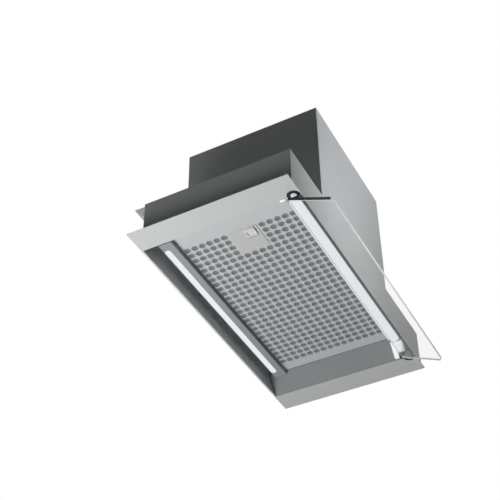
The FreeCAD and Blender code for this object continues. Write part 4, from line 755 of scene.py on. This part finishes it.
def add_glass(materials):
    """The pane with rounded corners: polished faces, and a ground edge all round."""
    swing = visor_swing()
    level = [swing.inverted() @ vertex.co for vertex in frame["nodes"]["visor_glass"].data.vertices]
    low, high = Vector(map(min, zip(*level))), Vector(map(max, zip(*level)))

    def loop(inset, height):
        """The pane's outline at one height, drawn in by an inset."""
        points = []
        radius = GLASS_CORNER - inset
        centres = ((high.x, high.y, 0), (low.x, high.y, 1), (low.x, low.y, 2), (high.x, low.y, 3))
        for x, y, quarter in centres:
            x_in = x - math.copysign(GLASS_CORNER, x - (low.x + high.x) / 2)
            y_in = y - math.copysign(GLASS_CORNER, y - (low.y + high.y) / 2)
            for step in range(CORNER_STEPS + 1):
                turn = math.pi / 2 * (quarter + step / CORNER_STEPS)
                points.append(Vector((x_in + radius * math.cos(turn),
                                      y_in + radius * math.sin(turn), height)))
        return points

    shape = bmesh.new()
    rings = [[shape.verts.new(swing @ point) for point in loop(inset, height)]
             for inset, height in ((GLASS_ARRIS, low.z), (0.0, low.z + GLASS_ARRIS),
                                   (0.0, high.z - GLASS_ARRIS), (GLASS_ARRIS, high.z))]
    count = len(rings[0])
    for ring, following in zip(rings, rings[1:]):
        for index in range(count):
            after = (index + 1) % count
            face = shape.faces.new((ring[index], ring[after], following[after], following[index]))
            face.material_index = 1      # the ground edge
    shape.faces.new(list(reversed(rings[0])))
    shape.faces.new(rings[-1])
    add_shape("visor_pane", shape, [materials["glass"], materials["glass_edge"]], "visor_glass")


GLAND_LENGTH = 14.0 * MM
GLAND_BORE = 4.0 * MM
GLAND_NUT_FLATS = 6
GLAND_RIBS = 12
GLAND_RIB_DEPTH = 0.03         # as a share of the nut's radius
GLAND_POINTS = 72


def add_cable_gland(materials):
    """The gland: a hexagon against the plate, and a ribbed dome nut that grips the cable."""
    low, high = [Vector(corner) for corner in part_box("cable_gland")]
    centre = (low + high) / 2
    radius = (high.y - low.y) / 2

    def bore(turn):
        """The hole for the cable, the same at every angle."""
        return GLAND_BORE

    def hexagon(turn):
        """The distance from the axis to a flat side, by angle."""
        flat = 2 * math.pi / GLAND_NUT_FLATS
        return radius * math.cos(flat / 2) / math.cos(turn % flat - flat / 2)

    def ribbed(share):
        """A round nut with shallow ribs, at a share of the full radius."""
        return lambda turn: (radius * share
                             * (1 + GLAND_RIB_DEPTH * math.cos(GLAND_RIBS * turn)))

    # how far along the gland from the plate, as a share of its length, and its outline there
    rings = [(0.0, bore), (0.0, hexagon), (0.36, hexagon), (0.38, ribbed(0.78)),
             (0.72, ribbed(0.78)), (0.94, ribbed(0.6)), (1.0, ribbed(0.52)), (1.0, bore)]
    shape = bmesh.new()
    loops = []
    for share, reach in rings:
        loop = []
        for index in range(GLAND_POINTS):
            turn = 2 * math.pi * index / GLAND_POINTS
            loop.append(shape.verts.new((low.x + GLAND_LENGTH * (1 - share),
                                         centre.y + reach(turn) * math.cos(turn),
                                         centre.z + reach(turn) * math.sin(turn))))
        loops.append(loop)
    for loop, following in zip(loops, loops[1:] + loops[:1]):
        for index in range(GLAND_POINTS):
            after = (index + 1) % GLAND_POINTS
            shape.faces.new((loop[index], loop[after], following[after], following[index]))
    add_shape("cable_gland_finished", shape, [materials["black"]], "cable_gland")


# --- surroundings --------------------------------------------------------------------------
def seen_directly(tree):
    """One for a ray that the camera, gloss or a pane of glass sends out, and zero for light."""
    path = add_node(tree, "ShaderNodeLightPath").outputs
    seen = add_node(tree, "ShaderNodeMath", {0: path["Is Camera Ray"], 1: path["Is Glossy Ray"]},
                    operation="MAXIMUM")
    shown = add_node(tree, "ShaderNodeMath",
                     {0: seen.outputs[0], 1: path["Is Transmission Ray"]}, operation="MAXIMUM")
    # light that a matt surface has scattered doesn't turn white on its way through the glass
    unscattered = add_node(tree, "ShaderNodeMath", {0: path["Diffuse Depth"]}, {1: 0.5},
                           operation="LESS_THAN")
    kept = add_node(tree, "ShaderNodeMath", {0: shown.outputs[0], 1: unscattered.outputs[0]},
                    operation="MULTIPLY")
    return kept.outputs[0]


def add_world():
    """White where the camera and reflections look, and a low even light on the object."""
    world = bpy.data.worlds.new("studio")
    bpy.context.scene.world = world
    world.use_nodes = True
    tree = world.node_tree
    tree.nodes.clear()
    ambient = add_node(tree, "ShaderNodeBackground", values={"Color": WHITE, "Strength": AMBIENT})
    white = add_node(tree, "ShaderNodeBackground", values={"Color": WHITE, "Strength": 1.0})
    mix = add_node(tree, "ShaderNodeMixShader",
                   {0: seen_directly(tree), 1: ambient.outputs[0], 2: white.outputs[0]})
    add_node(tree, "ShaderNodeOutputWorld", {"Surface": mix.outputs[0]})


def add_floor():
    """A plain pale floor, well below the hood."""
    mesh = bpy.data.meshes.new("floor")
    corners = [(x * FLOOR_HALF, y * FLOOR_HALF, FLOOR_LEVEL)
               for x, y in ((-1, -1), (1, -1), (1, 1), (-1, 1))]
    mesh.from_pydata(corners, [], [(0, 1, 2, 3)])
    floor = bpy.data.objects.new("floor", mesh)
    bpy.context.scene.collection.objects.link(floor)
    material, tree, shader = new_material("pale_floor")
    feed(tree, shader, values={"Base Color": colour("#8c8c8a"), "Roughness": 0.9})
    pale = add_node(tree, "ShaderNodeEmission",
                    values={"Color": colour("#f2f2f0"), "Strength": 1.0})
    share = add_node(tree, "ShaderNodeMath", {0: seen_directly(tree)}, {1: FLOOR_PALENESS},
                     operation="MULTIPLY")
    mix = add_node(tree, "ShaderNodeMixShader", {0: share.outputs[0], 1: shader.outputs["BSDF"],
                                                 2: pale.outputs["Emission"]})
    output = next(node for node in tree.nodes if node.type == "OUTPUT_MATERIAL")
    feed(tree, output, {"Surface": mix.outputs[0]})
    mesh.materials.append(material)


add_camera()
add_lamps()
add_world()
add_floor()
materials = make_materials()
dress_nodes(materials)
round_edges(materials)
add_hole_rims(materials)
add_screws(materials)
add_duct_collar(materials)
add_glass(materials)
add_cable_gland(materials)

bpy.context.scene.view_settings.view_transform = "Standard"
